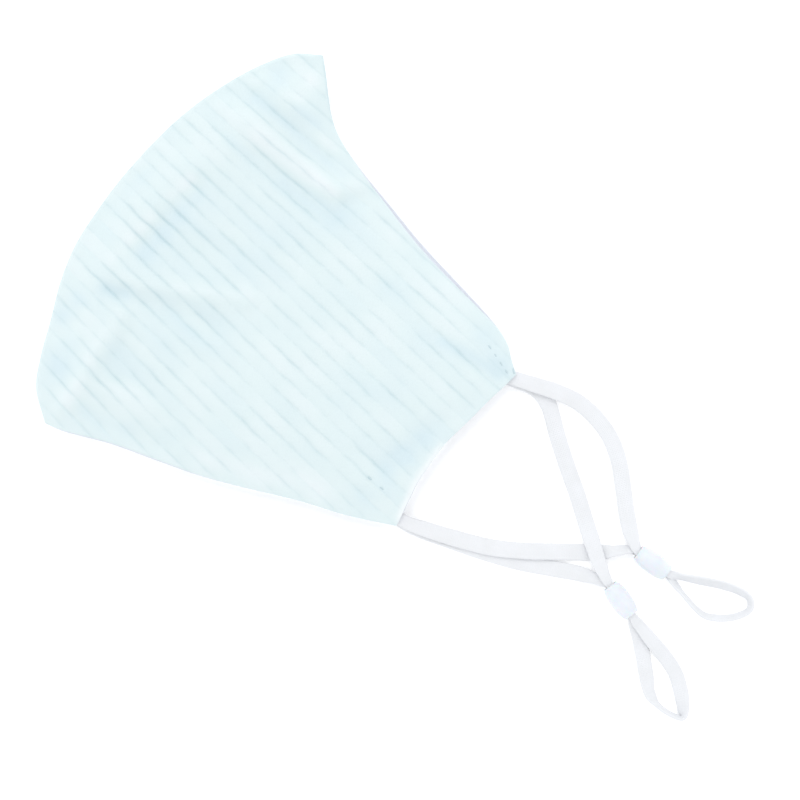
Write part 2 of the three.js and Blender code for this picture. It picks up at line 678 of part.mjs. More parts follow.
// An oval bead with a bore along it, which grips both strands of an ear loop.
function toggle(place) {
  const end = toggleLength / 2;
  const outside = toggleSwell.map(({ along, drawnIn }) => [
    THREE.MathUtils.lerp(toggleRadius, toggleEndRadius, drawnIn),
    along * end,
  ]);
  const profile = [
    [toggleBore, -end],
    ...outside.map(([radius, along]) => [radius, -along]).reverse(),
    ...outside,
    [toggleBore, end],
    [toggleBore, -end],
  ];
  const bead = new THREE.LatheGeometry(
    profile.map(([radius, along]) => new THREE.Vector2(radius, along)),
    toggleSides,
  );
  bead.rotateZ(-Math.PI / 2);
  bead.rotateX(Math.PI / toggleSides);
  bead.rotateZ(THREE.MathUtils.degToRad(place.turn));
  bead.translate(place.x, place.y, toggleRadius);
  return geometryOf(solidOf(bead));
}

const mask = new THREE.Group();
mask.add(namedMesh("left_panel", geometryOf(leftPanel()), clothMaterial));
mask.add(namedMesh("right_panel", geometryOf(rightPanel()), clothMaterial));
mask.add(namedMesh("left_lining", geometryOf(leftLining()), liningMaterial));
mask.add(namedMesh("right_lining", geometryOf(rightLining()), liningMaterial));
mask.add(namedMesh("front_seam", geometryOf(frontSeamStrip()), clothMaterial));
mask.add(namedMesh("left_ear_loop", earLoop(leftLoopRoute), elasticMaterial));
mask.add(namedMesh("right_ear_loop", earLoop(rightLoopRoute), elasticMaterial));
mask.add(namedMesh("left_toggle", toggle(toggles.left), toggleMaterial));
mask.add(namedMesh("right_toggle", toggle(toggles.right), toggleMaterial));

export default mask;
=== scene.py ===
import math

import bpy
import numpy as np
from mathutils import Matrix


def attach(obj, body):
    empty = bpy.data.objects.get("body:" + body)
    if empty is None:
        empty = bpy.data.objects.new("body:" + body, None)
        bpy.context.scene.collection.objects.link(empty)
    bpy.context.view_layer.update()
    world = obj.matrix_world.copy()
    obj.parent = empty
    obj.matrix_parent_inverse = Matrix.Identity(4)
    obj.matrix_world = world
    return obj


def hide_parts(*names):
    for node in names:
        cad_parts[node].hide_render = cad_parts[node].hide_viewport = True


# A ribbed cloth face mask, folded flat along its curved front seam and laid on its right half.
# Metres, +Z up. X runs along the ribs from the front seam to the ears, Y from chin to nose.
# Depths are shares from the front along X, heights shares from the chin along Y.

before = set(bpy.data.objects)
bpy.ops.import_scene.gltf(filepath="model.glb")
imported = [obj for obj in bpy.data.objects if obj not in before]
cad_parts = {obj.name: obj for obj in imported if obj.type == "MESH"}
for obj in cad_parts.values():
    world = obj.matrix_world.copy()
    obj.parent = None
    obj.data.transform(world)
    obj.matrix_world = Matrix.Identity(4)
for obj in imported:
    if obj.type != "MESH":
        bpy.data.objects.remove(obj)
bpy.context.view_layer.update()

MM = 0.001

# Driving sizes of the cloth
MASK_DEPTH = 139 * MM
MASK_HEIGHT = 144.6 * MM
CLOTH_WALL = 1 * MM
LINING_WALL = 0.6 * MM
LINING_GAP = 0.08 * MM
HOLLOW_HEIGHT = 8.6 * MM
HEM_WIDTH = 1.2 * MM
RIM_RADIUS = 0.5 * MM

# Ribs: their pitch, the groove between two ribs, and how the ribs spread towards the ears
RIB_PITCH = 4.62 * MM
RIB_PHASE = 0.4 * MM
RIB_CROWN = 0.14 * MM
GROOVE_DEPTH = 0.3 * MM
GROOVE_WIDTH = 0.4 * MM
GROOVE_FLANK = 1.2 * MM
FLANK_SHARE = 0.28
GROOVE_WANDER = 0.14 * MM
RIB_SPREAD = 0.05
RIB_SPREAD_CENTRE = 10 * MM

# Fine wrinkles of the upper half: a bump's size, its height and its seed. Then the waves that
# make up a noise, and the size and seeds of the other noises
WRINKLES = [(9 * MM, 0.09 * MM, 3), (4 * MM, 0.03 * MM, 4)]
NOISE_WAVES = 14
WANDER_SIZE = 3 * MM
WANDER_SEED = 9
LEFT_GROOVE_SEED = 5
RIGHT_GROOVE_SEED = 6
LEFT_TONE_SEED = 7

# Where the rib lines are drawn up or down: how far, and the rib lines and the depths over which
# that grows to its whole
RIB_DRAWS = [
    ("nose", -3.2 * MM, (17 * MM, 58 * MM), (0.52, 0.12)),
    ("chin", 1.5 * MM, (-22 * MM, -54 * MM), (0.5, 0.2)),
]

# Front seam
EDGE_ROLL = 1.5 * MM
SEAM_MIDDLE = 1.9 * MM
SEAM_STACK = 2.8 * MM
CORNER_STACK = 4.3 * MM
SEAM_GAP = 0.03 * MM
LINING_START = 6.8 * MM

# Ear loops and toggles
STRAP_WIDTH = 5.2 * MM
STRAP_WALL = 1.2 * MM
STRAP_FLOOR_GAP = 0.1 * MM
TOGGLE_LENGTH = 11.4 * MM
TOGGLE_RADIUS = 3.4 * MM
TOGGLE_END_RADIUS = 2.5 * MM
TOGGLE_LIP = 0.35 * MM
TOGGLE_BORE = 2.1 * MM
TOGGLE_SWELL = 2.8

# The curved front seam: height and depth
FRONT_SEAM = [
    (0, 0.26), (0.04, 0.193), (0.1, 0.148), (0.17, 0.109), (0.25, 0.063),
    (0.33, 0.031), (0.42, 0.013), (0.5, 0.003), (0.58, 0), (0.66, 0.002),
    (0.74, 0.012), (0.83, 0.034), (0.9, 0.06), (0.96, 0.094), (1, 0.143),
]

# The top edge: depth, and height on the left and right half
TOP_EDGE = [
    (0.143, 1, 1), (0.18, 0.972, 0.971), (0.215, 0.944, 0.942), (0.25, 0.918, 0.916),
    (0.287, 0.898, 0.897), (0.33, 0.885, 0.886), (0.4, 0.87, 0.874), (0.47, 0.859, 0.866),
    (0.54, 0.848, 0.857), (0.61, 0.839, 0.849), (0.7, 0.834, 0.844), (0.8, 0.832, 0.838),
    (0.86, 0.829, 0.831), (0.9, 0.818, 0.818), (0.93, 0.799, 0.799), (0.955, 0.786, 0.786),
]

# The lower edge: depth, and height on the left and right half
LOWER_EDGE = [
    (0.26, 0, 0), (0.3, 0.016, 0.013), (0.4, 0.069, 0.065), (0.5, 0.111, 0.107),
    (0.6, 0.153, 0.15), (0.7, 0.205, 0.203), (0.8, 0.26, 0.259), (0.9, 0.308, 0.308),
    (1, 0.367, 0.366),
]

# The ear edge: height, and depth on the left and right half
EAR_EDGE = [
    (0.366, 0.998, 1), (0.38, 0.994, 0.996), (0.4, 0.987, 0.989), (0.43, 0.977, 0.979),
    (0.466, 0.965, 0.967), (0.5, 0.959, 0.961), (0.535, 0.954, 0.955), (0.565, 0.95, 0.951),
    (0.585, 0.95, 0.948), (0.64, 0.953, 0.949), (0.71, 0.955, 0.951), (0.75, 0.958, 0.956),
    (0.774, 0.959, 0.958),
]
LEFT, RIGHT = 1, 2

# How the upper half rises from its edges: distance as a share of the depth or height, and the
# share of the hollow's height that is reached there
RISE_FROM_SEAM = [
    (0, 0), (0.03, 0.2), (0.07, 0.47), (0.105, 0.68), (0.13, 0.75), (0.16, 0.75),
    (0.22, 0.76), (0.3, 0.81), (0.45, 0.92), (0.6, 1), (1, 1),
]
RISE_FROM_EDGE = [(0, 0), (0.02, 0.16), (0.06, 0.42), (0.12, 0.7), (0.2, 0.9), (0.3, 1)]
RISE_FROM_EAR = [(0, 0.35), (0.04, 0.52), (0.1, 0.72), (0.2, 0.9), (0.4, 1)]
EDGE_FADE = 4

# Folds and dents of the upper half: name, from and to as shares of the depth and height, width
# as a share of the depth, rise as a share of the hollow's height
FOLDS = [
    ("chin ridge", (0.228, 0.29), (0.268, 0.05), 0.024, 0.2),
    ("chin ridge flank", (0.29, 0.225), (0.32, 0.2), 0.035, -0.15),
    ("chin arc", (0.27, 0.135), (0.42, 0.185), 0.028, 0.1),
    ("diagonal ridge", (0.18, 0.342), (0.4, 0.498), 0.026, 0.2),
    ("under the diagonal", (0.235, 0.345), (0.4, 0.41), 0.03, -0.16),
    ("dimple", (0.165, 0.31), (0.19, 0.325), 0.024, -0.25),
    ("behind the front", (0.152, 0.42), (0.142, 0.6), 0.026, -0.2),
    ("over the diagonal", (0.215, 0.48), (0.3, 0.52), 0.045, -0.1),
    ("nose ridge", (0.06, 0.768), (0.39, 0.806), 0.024, 0.17),
    ("nose valley", (0.1, 0.828), (0.31, 0.838), 0.024, -0.16),
    ("upper nose ridge", (0.09, 0.868), (0.2, 0.88), 0.024, 0.12),
    ("cheek valley", (0.2, 0.73), (0.41, 0.75), 0.026, -0.16),
    ("top tuck", (0.36, 0.797), (0.405, 0.845), 0.022, 0.12),
    ("top tuck hollow", (0.42, 0.797), (0.436, 0.84), 0.024, -0.12),
    ("nose dent", (0.26, 0.885), (0.277, 0.93), 0.024, -0.1),
    ("chin hollow", (0.313, 0.08), (0.48, 0.135), 0.034, -0.15),
    ("ear crease", (0.889, 0.45), (0.91, 0.6), 0.028, -0.1),
    ("lower ear ridge", (0.86, 0.389), (0.93, 0.396), 0.026, 0.09),
    ("upper ear crease", (0.77, 0.729), (0.93, 0.745), 0.02, -0.11),
]

# Painted shade and painted highlight: softly darker strokes of the cloth's colour where it lies in a
# dent, and paler ones on its ridges. Name, from and to as shares of the depth and height, width as a
# share of the depth, strength
PAINTED_SHADES = [
    ("behind the front", (0.166, 0.42), (0.16, 0.575), 0.022, 0.55),
    ("beside it", (0.2, 0.43), (0.21, 0.56), 0.065, 0.4),
    ("dimple", (0.155, 0.303), (0.195, 0.328), 0.02, 0.8),
    ("diagonal ridge", (0.175, 0.347), (0.392, 0.504), 0.019, -0.25),
    ("under the diagonal", (0.24, 0.345), (0.38, 0.405), 0.032, 0.12),
    ("wide hollow", (0.28, 0.33), (0.41, 0.385), 0.06, 0.3),
    ("chin ridge", (0.216, 0.29), (0.267, 0.04), 0.019, -0.3),
    ("chin arc", (0.265, 0.13), (0.35, 0.178), 0.018, -0.25),
    ("chin arc end", (0.35, 0.178), (0.46, 0.185), 0.024, -0.2),
    ("chin flank", (0.28, 0.215), (0.34, 0.22), 0.033, 0.6),
    ("chin hollow", (0.31, 0.08), (0.4, 0.115), 0.026, 0.5),
    ("chin front", (0.2, 0.09), (0.19, 0.16), 0.035, 0.6),
    ("cheek", (0.13, 0.722), (0.28, 0.737), 0.017, 0.4),
    ("cheek valley", (0.28, 0.737), (0.42, 0.75), 0.024, 0.7),
    ("nose ridge", (0.17, 0.77), (0.38, 0.795), 0.022, -0.6),
    ("nose valley", (0.11, 0.83), (0.31, 0.84), 0.018, 0.6),
    ("upper nose ridge", (0.08, 0.865), (0.14, 0.875), 0.02, -0.25),
    ("nose tip", (0.165, 0.94), (0.175, 0.9), 0.02, -0.4),
    ("nose dent", (0.2, 0.865), (0.235, 0.87), 0.024, 0.6),
    ("top tuck", (0.29, 0.862), (0.31, 0.86), 0.018, -0.5),
    ("ear crease", (0.895, 0.455), (0.91, 0.56), 0.028, 0.9),
    ("lower ear corner", (0.9, 0.37), (0.91, 0.4), 0.03, 0.4),
    ("upper ear crease", (0.79, 0.728), (0.93, 0.757), 0.017, 0.7),
    ("upper ear corner", (0.92, 0.775), (0.93, 0.765), 0.024, 0.5),
    ("nose front", (0.105, 0.905), (0.115, 0.875), 0.024, 0.5),
    ("by the tuck", (0.34, 0.835), (0.36, 0.835), 0.024, 0.45),
    ("past the tuck", (0.43, 0.775), (0.51, 0.775), 0.034, 0.55),
    ("cheek front", (0.26, 0.65), (0.35, 0.645), 0.04, 0.45),
    ("upper back", (0.62, 0.715), (0.74, 0.705), 0.035, 0.3),
    ("centre", (0.36, 0.54), (0.43, 0.575), 0.05, 0.35),
    ("back", (0.725, 0.47), (0.8, 0.59), 0.04, 0.25),
    ("front edge", (0.04, 0.45), (0.04, 0.55), 0.022, 0.4),
    ("before the front", (0.118, 0.36), (0.122, 0.6), 0.018, -0.35),
    ("upper front", (0.13, 0.585), (0.13, 0.605), 0.024, -0.35),
    ("front chin edge", (0.125, 0.245), (0.122, 0.205), 0.026, 0.7),
    ("lower back", (0.72, 0.28), (0.81, 0.3), 0.03, -0.35),
    ("stitched corner", (0.85, 0.797), (0.915, 0.782), 0.024, 0.65),
    ("top middle", (0.48, 0.815), (0.52, 0.8), 0.04, -0.25),
    ("top back", (0.73, 0.785), (0.77, 0.775), 0.04, -0.25),
    ("lower edge", (0.52, 0.16), (0.75, 0.27), 0.02, -0.3),
]

# Each rib's own random tone, and how far and how long the painted shade strokes are broken up along
# the ribs
RIB_TONE = 0.13
RIB_TONE_WAVES = [(70 * MM, 1), (27 * MM, 1)]
TONE_BREAK = 0.35
TONE_STRETCH = 0.35
TONE_BREAK_SIZE = 4 * MM

# A pale strip painted along the ear edge, standing in for the lit edge of the pale lining that
# shows past it, partly that cloth's own colour and partly painted light: its width, how softly it
# ends, and its ends as shares of the height
EAR_LIGHT_STRIP = 1.5 * MM
EAR_LIGHT_BLUR = 1.2 * MM
EAR_LIGHT_ENDS = (0.36, 0.39, 0.54, 0.58)

# Rows of stitches on the upper half: name, from and to as shares of the depth and height.
# Then a stitch's sizes, and its least and most share of them
STITCH_ROWS = [
    ("upper ear corner", (0.873, 0.787), (0.938, 0.7735)),
    ("end of the loop", (0.9475, 0.7865), (0.951, 0.784)),
    ("lower ear corner", (0.88, 0.402), (0.915, 0.404)),
]
STITCH_PITCH = 2.85 * MM
STITCH_LENGTH = 1.8 * MM
STITCH_WIDTH = 0.65 * MM
STITCH_LIFT = 0.05 * MM
STITCH_LEAST = (0.75, 0.85, 0.85)
STITCH_MOST = (1.05, 1, 1)
STITCH_SEED = 3

# A painted shadow line along the nose end of the top edge, where the two halves meet: its
# width, its ends as shares of the depth, the height above which it lies, and its strength
EDGE_SHADOW_WIDTH = 0.55 * MM
EDGE_SHADOW_ENDS = (0.148, 0.165, 0.2, 0.29)
EDGE_SHADOW_FROM = 0.8
EDGE_SHADOW_STRENGTH = 1.1

# Where the lining stops short of the ear corners, as shares of the depth and height
LINING_CORNERS = {"top": (0.84, 0.68), "lower": (0.86, 0.46)}

# Where the grooves are pulled deeper and their painted shade darker: name, place and reach as
# shares of the depth and height
GROOVE_ACCENTS = [
    ("behind the front", (0.165, 0.5), (0.03, 0.1), 0.8),
    ("dimple", (0.175, 0.315), (0.03, 0.03), 0.6),
    ("front middle", (0.1, 0.47), (0.05, 0.05), 0.35),
    ("front", (0.2, 0.5), (0.15, 0.26), 0.28),
    ("middle", (0.5, 0.5), (0.14, 0.24), 0.16),
    ("nose bands", (0.2, 0.825), (0.12, 0.025), 0.3),
    ("cheek valley", (0.34, 0.745), (0.12, 0.03), 0.5),
    ("under the diagonal", (0.33, 0.36), (0.1, 0.05), 0.3),
    ("upper ear crease", (0.86, 0.728), (0.1, 0.015), 0.7),
    ("ear crease", (0.885, 0.46), (0.04, 0.04), 0.4),
    ("chin", (0.25, 0.17), (0.1, 0.07), 0.25),
    ("lower edge", (0.39, 0.15), (0.1, 0.03), 0.3),
]

# How each groove comes and goes along its length: wave lengths and their shares, then its mean
# strength, how far the waves change it, its bounds, and the share of its depth left at an edge
GROOVE_WAVES = [(61 * MM, 0.5), (33 * MM, 0.4), (17 * MM, 0.35), (8 * MM, 0.25), (4.3 * MM, 0.2)]
GROOVE_MEAN = 0.33
GROOVE_SWING = 0.42
GROOVE_BOUNDS = (0.05, 1.3)
EDGE_GROOVE = 0.35

# Rows of the cloth's grid across one rib, and its columns at the front and at the free edge
RIB_ROWS = [0, 0.05, 0.11, 0.19, 0.33, 0.5, 0.67, 0.81, 0.89, 0.95]
LINING_ROWS = [0, 0.33, 0.67]
FRONT_COLUMNS = [share * EDGE_ROLL for share in (0, 0.04, 0.14, 0.3, 0.52, 0.78, 1)]
FREE_COLUMNS = [share * RIM_RADIUS for share in (3, 2, 1.35, 1, 0.6, 0.3, 0.1, 0)]
COLUMN_PITCH = 1.1 * MM
LINING_COLUMN_PITCH = 1.8 * MM
LINING_RIM = (3, 1, 0.4, 0.1, 0)
LEAST_COLUMN_SHARE = 0.35
END_SHARE = 0.3
SAME_PLACE = 0.001 * MM
STEEPEST_SEAM = 2.2
SHALLOWEST_EDGE = 0.1
SEARCH_STEPS = 1600

# The least length of a row, and the extra rows' distances from the nose and chin tips
SHORTEST_ROW = 0.3 * MM
TIP_ROWS = np.array([0.04, 0.08, 0.14]) * RIB_PITCH

# The route of the left half's ear loop, which lies on top: x, y, height of its underside, how
# far it is rolled from flat in degrees, and its width as a share
LEFT_LOOP_ROUTE = [
    (0.0575, 0.0368, 0.0028, 0, 0.85),
    (0.0618, 0.0386, 0.0028, 0, 0.85),
    (0.0665, 0.0409, 0.0028, 0, 0.9),
    (0.0715, 0.0434, 0.0024, 0, 0.95),
    (0.077, 0.046, 0.002, 0, 1),
    (0.084, 0.0483, 0.0006, 0, 1),
    (0.0915, 0.0486, 0.0001, 0, 1),
    (0.099, 0.0472, 0.0001, 0, 1),
    (0.106, 0.0438, 0.0001, 0, 1),
    (0.1125, 0.0389, 0.0001, 0, 1),
    (0.1185, 0.0341, 0.0002, 0, 1),
    (0.1238, 0.0302, 0.0013, 0, 0.95),
    (0.1276, 0.028, 0.0029, 0, 0.7),
    (0.1305, 0.027, 0.00355, 0, 0.46),
    (0.13585, 0.0277, 0.00355, 0, 0.46),
    (0.1412, 0.0284, 0.00355, 0, 0.46),
    (0.1455, 0.0308, 0.0009, 62, 0.75),
    (0.1508, 0.0341, 0.0001, 55, 0.85),
    (0.1565, 0.0376, 0.0001, 55, 0.85),
    (0.1618, 0.04, 0.0001, 62, 0.85),
    (0.166, 0.0405, 0.0001, 72, 0.8),
    (0.1682, 0.0378, 0.0001, 75, 0.8),
    (0.1665, 0.0333, 0.0001, 72, 0.8),
    (0.163, 0.0294, 0.0001, 70, 0.85),
    (0.1591, 0.0269, 0.0001, 72, 0.85),
    (0.1542, 0.0267, 0.0001, 76, 0.85),
    (0.1492, 0.0272, 0.0001, 78, 0.8),
    (0.145, 0.0278, 0.0006, 55, 0.6),
    (0.1412, 0.0284, 0.00205, 0, 0.46),
    (0.13585, 0.0277, 0.00205, 0, 0.46),
    (0.1305, 0.027, 0.00205, 0, 0.46),
    (0.1278, 0.0258, 0.0006, 50, 0.7),
    (0.1248, 0.0223, 0.0001, 45, 0.85),
    (0.1212, 0.018, 0.0001, 0, 1),
    (0.1162, 0.0135, 0.0001, 0, 1),
    (0.1105, 0.0084, 0.0013, 0, 1),
    (0.104, 0.0026, 0.0016, 0, 1),
    (0.096, -0.0036, 0.0016, 0, 1),
    (0.0865, -0.009, 0.0016, 0, 1),
    (0.0775, -0.0135, 0.0023, 0, 0.95),
    (0.0695, -0.0168, 0.0028, 0, 0.8),
    (0.0605, -0.0174, 0.0028, 0, 0.75),
]

# The route of the right half's ear loop, which lies under the left one at the mask
RIGHT_LOOP_ROUTE = [
    (0.0575, 0.0364, 0.0013, 0, 0.85),
    (0.0623, 0.0384, 0.0013, 0, 0.85),
    (0.067, 0.0404, 0.0012, 0, 0.9),
    (0.072, 0.0421, 0.0003, 0, 0.95),
    (0.078, 0.0412, 0.0001, 0, 1),
    (0.0865, 0.0362, 0.0001, 0, 1),
    (0.095, 0.0315, 0.0001, 0, 1),
    (0.1035, 0.0272, 0.0001, 0, 1),
    (0.111, 0.023, 0.0003, 0, 1),
    (0.1162, 0.0201, 0.0016, 0, 1),
    (0.1208, 0.0175, 0.0023, 0, 0.95),
    (0.1246, 0.0156, 0.0028, 0, 0.85),
    (0.1282, 0.0141, 0.0033, 0, 0.65),
    (0.1313, 0.01318, 0.00355, 0, 0.46),
    (0.1366, 0.0122, 0.00355, 0, 0.46),
    (0.1419, 0.01122, 0.00355, 0, 0.46),
    (0.1465, 0.0105, 0.0022, 0, 0.7),
    (0.1525, 0.0097, 0.0017, 0, 0.85),
    (0.159, 0.0089, 0.0004, 0, 0.9),
    (0.165, 0.0075, 0.0001, 0, 0.9),
    (0.1703, 0.0045, 0.0001, 0, 0.9),
    (0.1744, 0.0012, 0.0001, 35, 0.85),
    (0.1764, -0.0012, 0.0001, 80, 0.8),
    (0.1734, -0.0029, 0.0001, 80, 0.8),
    (0.1684, -0.0037, 0.0001, 75, 0.8),
    (0.1636, -0.0028, 0.0001, 35, 0.85),
    (0.1586, 0.0009, 0.0001, 0, 0.9),
    (0.153, 0.005, 0.0001, 0, 0.9),
    (0.1468, 0.0086, 0.0004, 0, 0.7),
    (0.1419, 0.01122, 0.00205, 0, 0.46),
    (0.1366, 0.0122, 0.00205, 0, 0.46),
    (0.1313, 0.01318, 0.00205, 0, 0.46),
    (0.1272, 0.012, 0.0009, 0, 0.7),
    (0.121, 0.0089, 0.0001, 0, 0.95),
    (0.1135, 0.0041, 0.0001, 0, 1),
    (0.1045, -0.0016, 0.0001, 0, 1),
    (0.094, -0.007, 0.0001, 0, 1),
    (0.083, -0.012, 0.0001, 0, 1),
    (0.0725, -0.0166, 0.0013, 0, 0.85),
    (0.0605, -0.018, 0.0013, 0, 0.75),
]
ROUTE_STEPS = 10
STRAP_SIDES = 32
STRAP_RIBS = 5
STRAP_RIB_DEPTH = 0.07
STRAP_EDGE = 0.55
STRAP_FACE = 0.7

# Each toggle's place and its turn in degrees
TOGGLES = {
    "left_toggle": (135.85 * MM, 27.7 * MM, 7.5),
    "right_toggle": (136.6 * MM, 12.2 * MM, -10.5),
}
TOGGLE_SIDES = 64
TOGGLE_RINGS = 41
BORE_RINGS = 17
LIP_RINGS = 13

# The photo's view
VIEW_CENTRE = (42.8 * MM, 10.1 * MM)
VIEW_WIDTH = 252 * MM
VIEW_HEIGHT = 3 * MM
VIEW_TURN = 43.5
CAMERA_DISTANCE = 0.9
CAMERA_SENSOR = 36

# Studio light
SKY_COLOUR = (0.97, 0.985, 1, 1)
SKY_STRENGTH = 1.05
KEY_FROM = (-0.42, 0.34, 0.84)
KEY_ANGLE = 25
KEY_STRENGTH = 0.38
FLOOR_WHITE = (0.97, 0.97, 0.972, 1)
FLOOR_GLOW = 0.18
FLOOR_HALF = 3.0


# Smooth tables

def table_value(rows, at, column=1):
    """A column's value where the first column is at, on a smooth curve."""
    keys = np.array([row[0] for row in rows], float)
    values = np.array([row[column] for row in rows], float)
    order = np.arange(len(keys))
    before = np.maximum(order - 1, 0)
    after = np.minimum(order + 1, len(keys) - 1)
    slopes = (values[after] - values[before]) / (keys[after] - keys[before])
    at = np.clip(at, keys[0], keys[-1])
    row = np.clip(np.searchsorted(keys, at, side="right") - 1, 0, len(keys) - 2)
    span = keys[row + 1] - keys[row]
    u = (at - keys[row]) / span
    rest = 1 - u
    ends = values[row] * (1 + 2 * u) * rest**2 + values[row + 1] * u**2 * (3 - 2 * u)
    return ends + span * u * rest * (slopes[row] * rest - slopes[row + 1] * u)


def smoothstep(at, low, high):
    share = np.clip((at - low) / (high - low), 0, 1)
    return share * share * (3 - 2 * share)


def band(at, start, full, fading, end):
    """A share that grows from start to full and goes again from fading to end."""
    return smoothstep(at, start, full) * (1 - smoothstep(at, fading, end))


# Outline of the halves

def depth_at(share):
    return (share - 0.5) * MASK_DEPTH


def height_at(share):
    return (share - 0.5) * MASK_HEIGHT


def depth_share(x):
    return x / MASK_DEPTH + 0.5


def height_share(y):
    return y / MASK_HEIGHT + 0.5


def seam_x(y):
    return depth_at(table_value(FRONT_SEAM, height_share(y)))


def top_y(x, side):
    return height_at(table_value(TOP_EDGE, depth_share(x), side))


def lower_y(x, side):
    return height_at(table_value(LOWER_EDGE, depth_share(x), side))


def ear_x(y, side):
    return depth_at(table_value(EAR_EDGE, height_share(y), side))


def seam_slant(y):
    """How much longer a step along X is than one square to the seam."""
    lean = (seam_x(y + MM) - seam_x(y - MM)) / (2 * MM)
    return np.minimum(np.hypot(1, lean), STEEPEST_SEAM)


def behind_seam(x, y):
    return np.maximum(0, (x - seam_x(y)) / seam_slant(y))


def spread_y(s, x):
    """Where a rib line runs: it spreads to the ears and is drawn in at the nose and chin."""
    depth = depth_share(x)
    drawn = sum(
        draw * smoothstep(s, *lines) * smoothstep(depth, *depths)
        for _, draw, lines, depths in RIB_DRAWS
    )
    return s + RIB_SPREAD * (s - RIB_SPREAD_CENTRE) * depth + drawn


def rib_line(x, y):
    """The rib line through a place: spread_y the other way round."""
    s = y
    for _ in range(12):
        s = s + y - spread_y(s, x)
    return s


def beyond_line(x, y, start, end):
    """How far a point lies to the left of the line from start to end."""
    along = np.subtract(end, start)
    along = along / np.hypot(*along)
    return along[0] * (y - start[1]) - along[1] * (x - start[0])


def corner_ends(corner, edge_y, side):
    """The ends of the line past an ear corner: on its own edge and on the ear edge."""
    x, y = depth_at(corner[0]), height_at(corner[1])
    return (x, edge_y(x, side)), (ear_x(y, side), y)


def edge_margin(x, y, side, inset, corners):
    """How far inside the free edges a point lies: negative outside them."""
    margin = np.minimum(top_y(x, side) - y, y - lower_y(x, side)) - inset
    margin = np.minimum(margin, ear_x(y, side) - x - inset)
    if corners:
        top, ear = corner_ends(corners["top"], top_y, side)
        margin = np.minimum(margin, beyond_line(x, y, ear, top))
        lower, ear = corner_ends(corners["lower"], lower_y, side)
        margin = np.minimum(margin, beyond_line(x, y, lower, ear))
    return margin


# Heights of the cloth

def fold_rise(x, y, start, end, width, rise):
    """The rise of one fold: a soft ridge or valley round the line between its two ends."""
    x0, y0 = depth_at(start[0]), height_at(start[1])
    run = depth_at(end[0]) - x0
    climb = height_at(end[1]) - y0
    share = np.clip(((x - x0) * run + (y - y0) * climb) / (run**2 + climb**2), 0, 1)
    away = np.hypot(x - x0 - share * run, y - y0 - share * climb) / (width * MASK_DEPTH)
    return rise * np.exp(-away * away)


def upper_underside(x, y):
    """The underside of the upper half's cloth, before its rolled edge."""
    seam_away = behind_seam(x, y)
    from_seam = table_value(RISE_FROM_SEAM, seam_away / MASK_DEPTH)
    top_away = np.maximum(0, top_y(x, LEFT) - y) / MASK_HEIGHT
    lower_away = np.maximum(0, y - lower_y(x, LEFT)) / MASK_HEIGHT
    from_top = table_value(RISE_FROM_EDGE, top_away)
    from_lower = table_value(RISE_FROM_EDGE, lower_away)
    ear_away = np.maximum(0, ear_x(y, LEFT) - x) / MASK_DEPTH
    from_ear = table_value(RISE_FROM_EAR, ear_away)
    folded = sum(fold_rise(x, y, *fold[1:]) for fold in FOLDS)
    edge_fade = np.minimum(1, EDGE_FADE * np.minimum(from_seam, np.minimum(from_top, from_lower)))
    stack_share = smoothstep(seam_away, EDGE_ROLL, 2 * LINING_START)
    stack = SEAM_STACK + (CORNER_STACK - SEAM_STACK) * stack_share
    rise = from_seam * from_top * from_lower * from_ear + folded * edge_fade
    return stack + HOLLOW_HEIGHT * rise


def soft_noise(x, y, size, seed):
    """Smooth noise of about -1 to 1 with bumps of the given size."""
    random = np.random.default_rng(seed)
    total = np.zeros_like(x)
    for _ in range(NOISE_WAVES):
        turn = random.uniform(0, math.tau)
        pitch = size * random.uniform(1.4, 3)
        phase = random.uniform(0, math.tau)
        total += np.sin((x * math.cos(turn) + y * math.sin(turn)) / pitch * math.tau + phase)
    return total / math.sqrt(NOISE_WAVES)


def rib_waves(x, rib, waves, seed):
    """Waves along the ribs, with phases of its own for each rib or groove."""
    random = np.random.default_rng(seed)
    rib = rib.astype(int)
    rib -= rib.min()
    phases = random.uniform(0, math.tau, (rib.max() + 1, len(waves)))
    return sum(
        share * np.sin(x / length * math.tau + phases[rib, wave])
        for wave, (length, share) in enumerate(waves)
    )


def groove_strength(x, y, s, seed):
    """How deep each groove is and how dark its painted shade, along its length: it comes and goes,
    rib by rib.
    """
    nearest = np.round((s - RIB_PHASE) / RIB_PITCH)
    strength = GROOVE_MEAN + GROOVE_SWING * rib_waves(x, nearest, GROOVE_WAVES, seed)
    for _, place, reach, gain in GROOVE_ACCENTS:
        across = (depth_share(x) - place[0]) / reach[0]
        upward = (height_share(y) - place[1]) / reach[1]
        strength += gain * np.exp(-(across**2) - upward**2)
    return np.clip(strength, *GROOVE_BOUNDS)


def painted_shade_and_rib_tone(x, y, s, seed):
    """How much deeper (to 1) or paler (to -1) the cloth's colour is: painted shade in its dents,
    painted highlight on its ridges, and each rib's own random tone.
    """
    own = rib_waves(x, np.floor((s - RIB_PHASE) / RIB_PITCH), RIB_TONE_WAVES, seed)
    strokes = sum(fold_rise(x, y, *shade_row[1:]) for shade_row in PAINTED_SHADES)
    broken = 1 + TONE_BREAK * soft_noise(x * TONE_STRETCH, s, TONE_BREAK_SIZE, seed)
    return np.clip(RIB_TONE * own + strokes * broken, -1, 1)


# Grids along the ribs

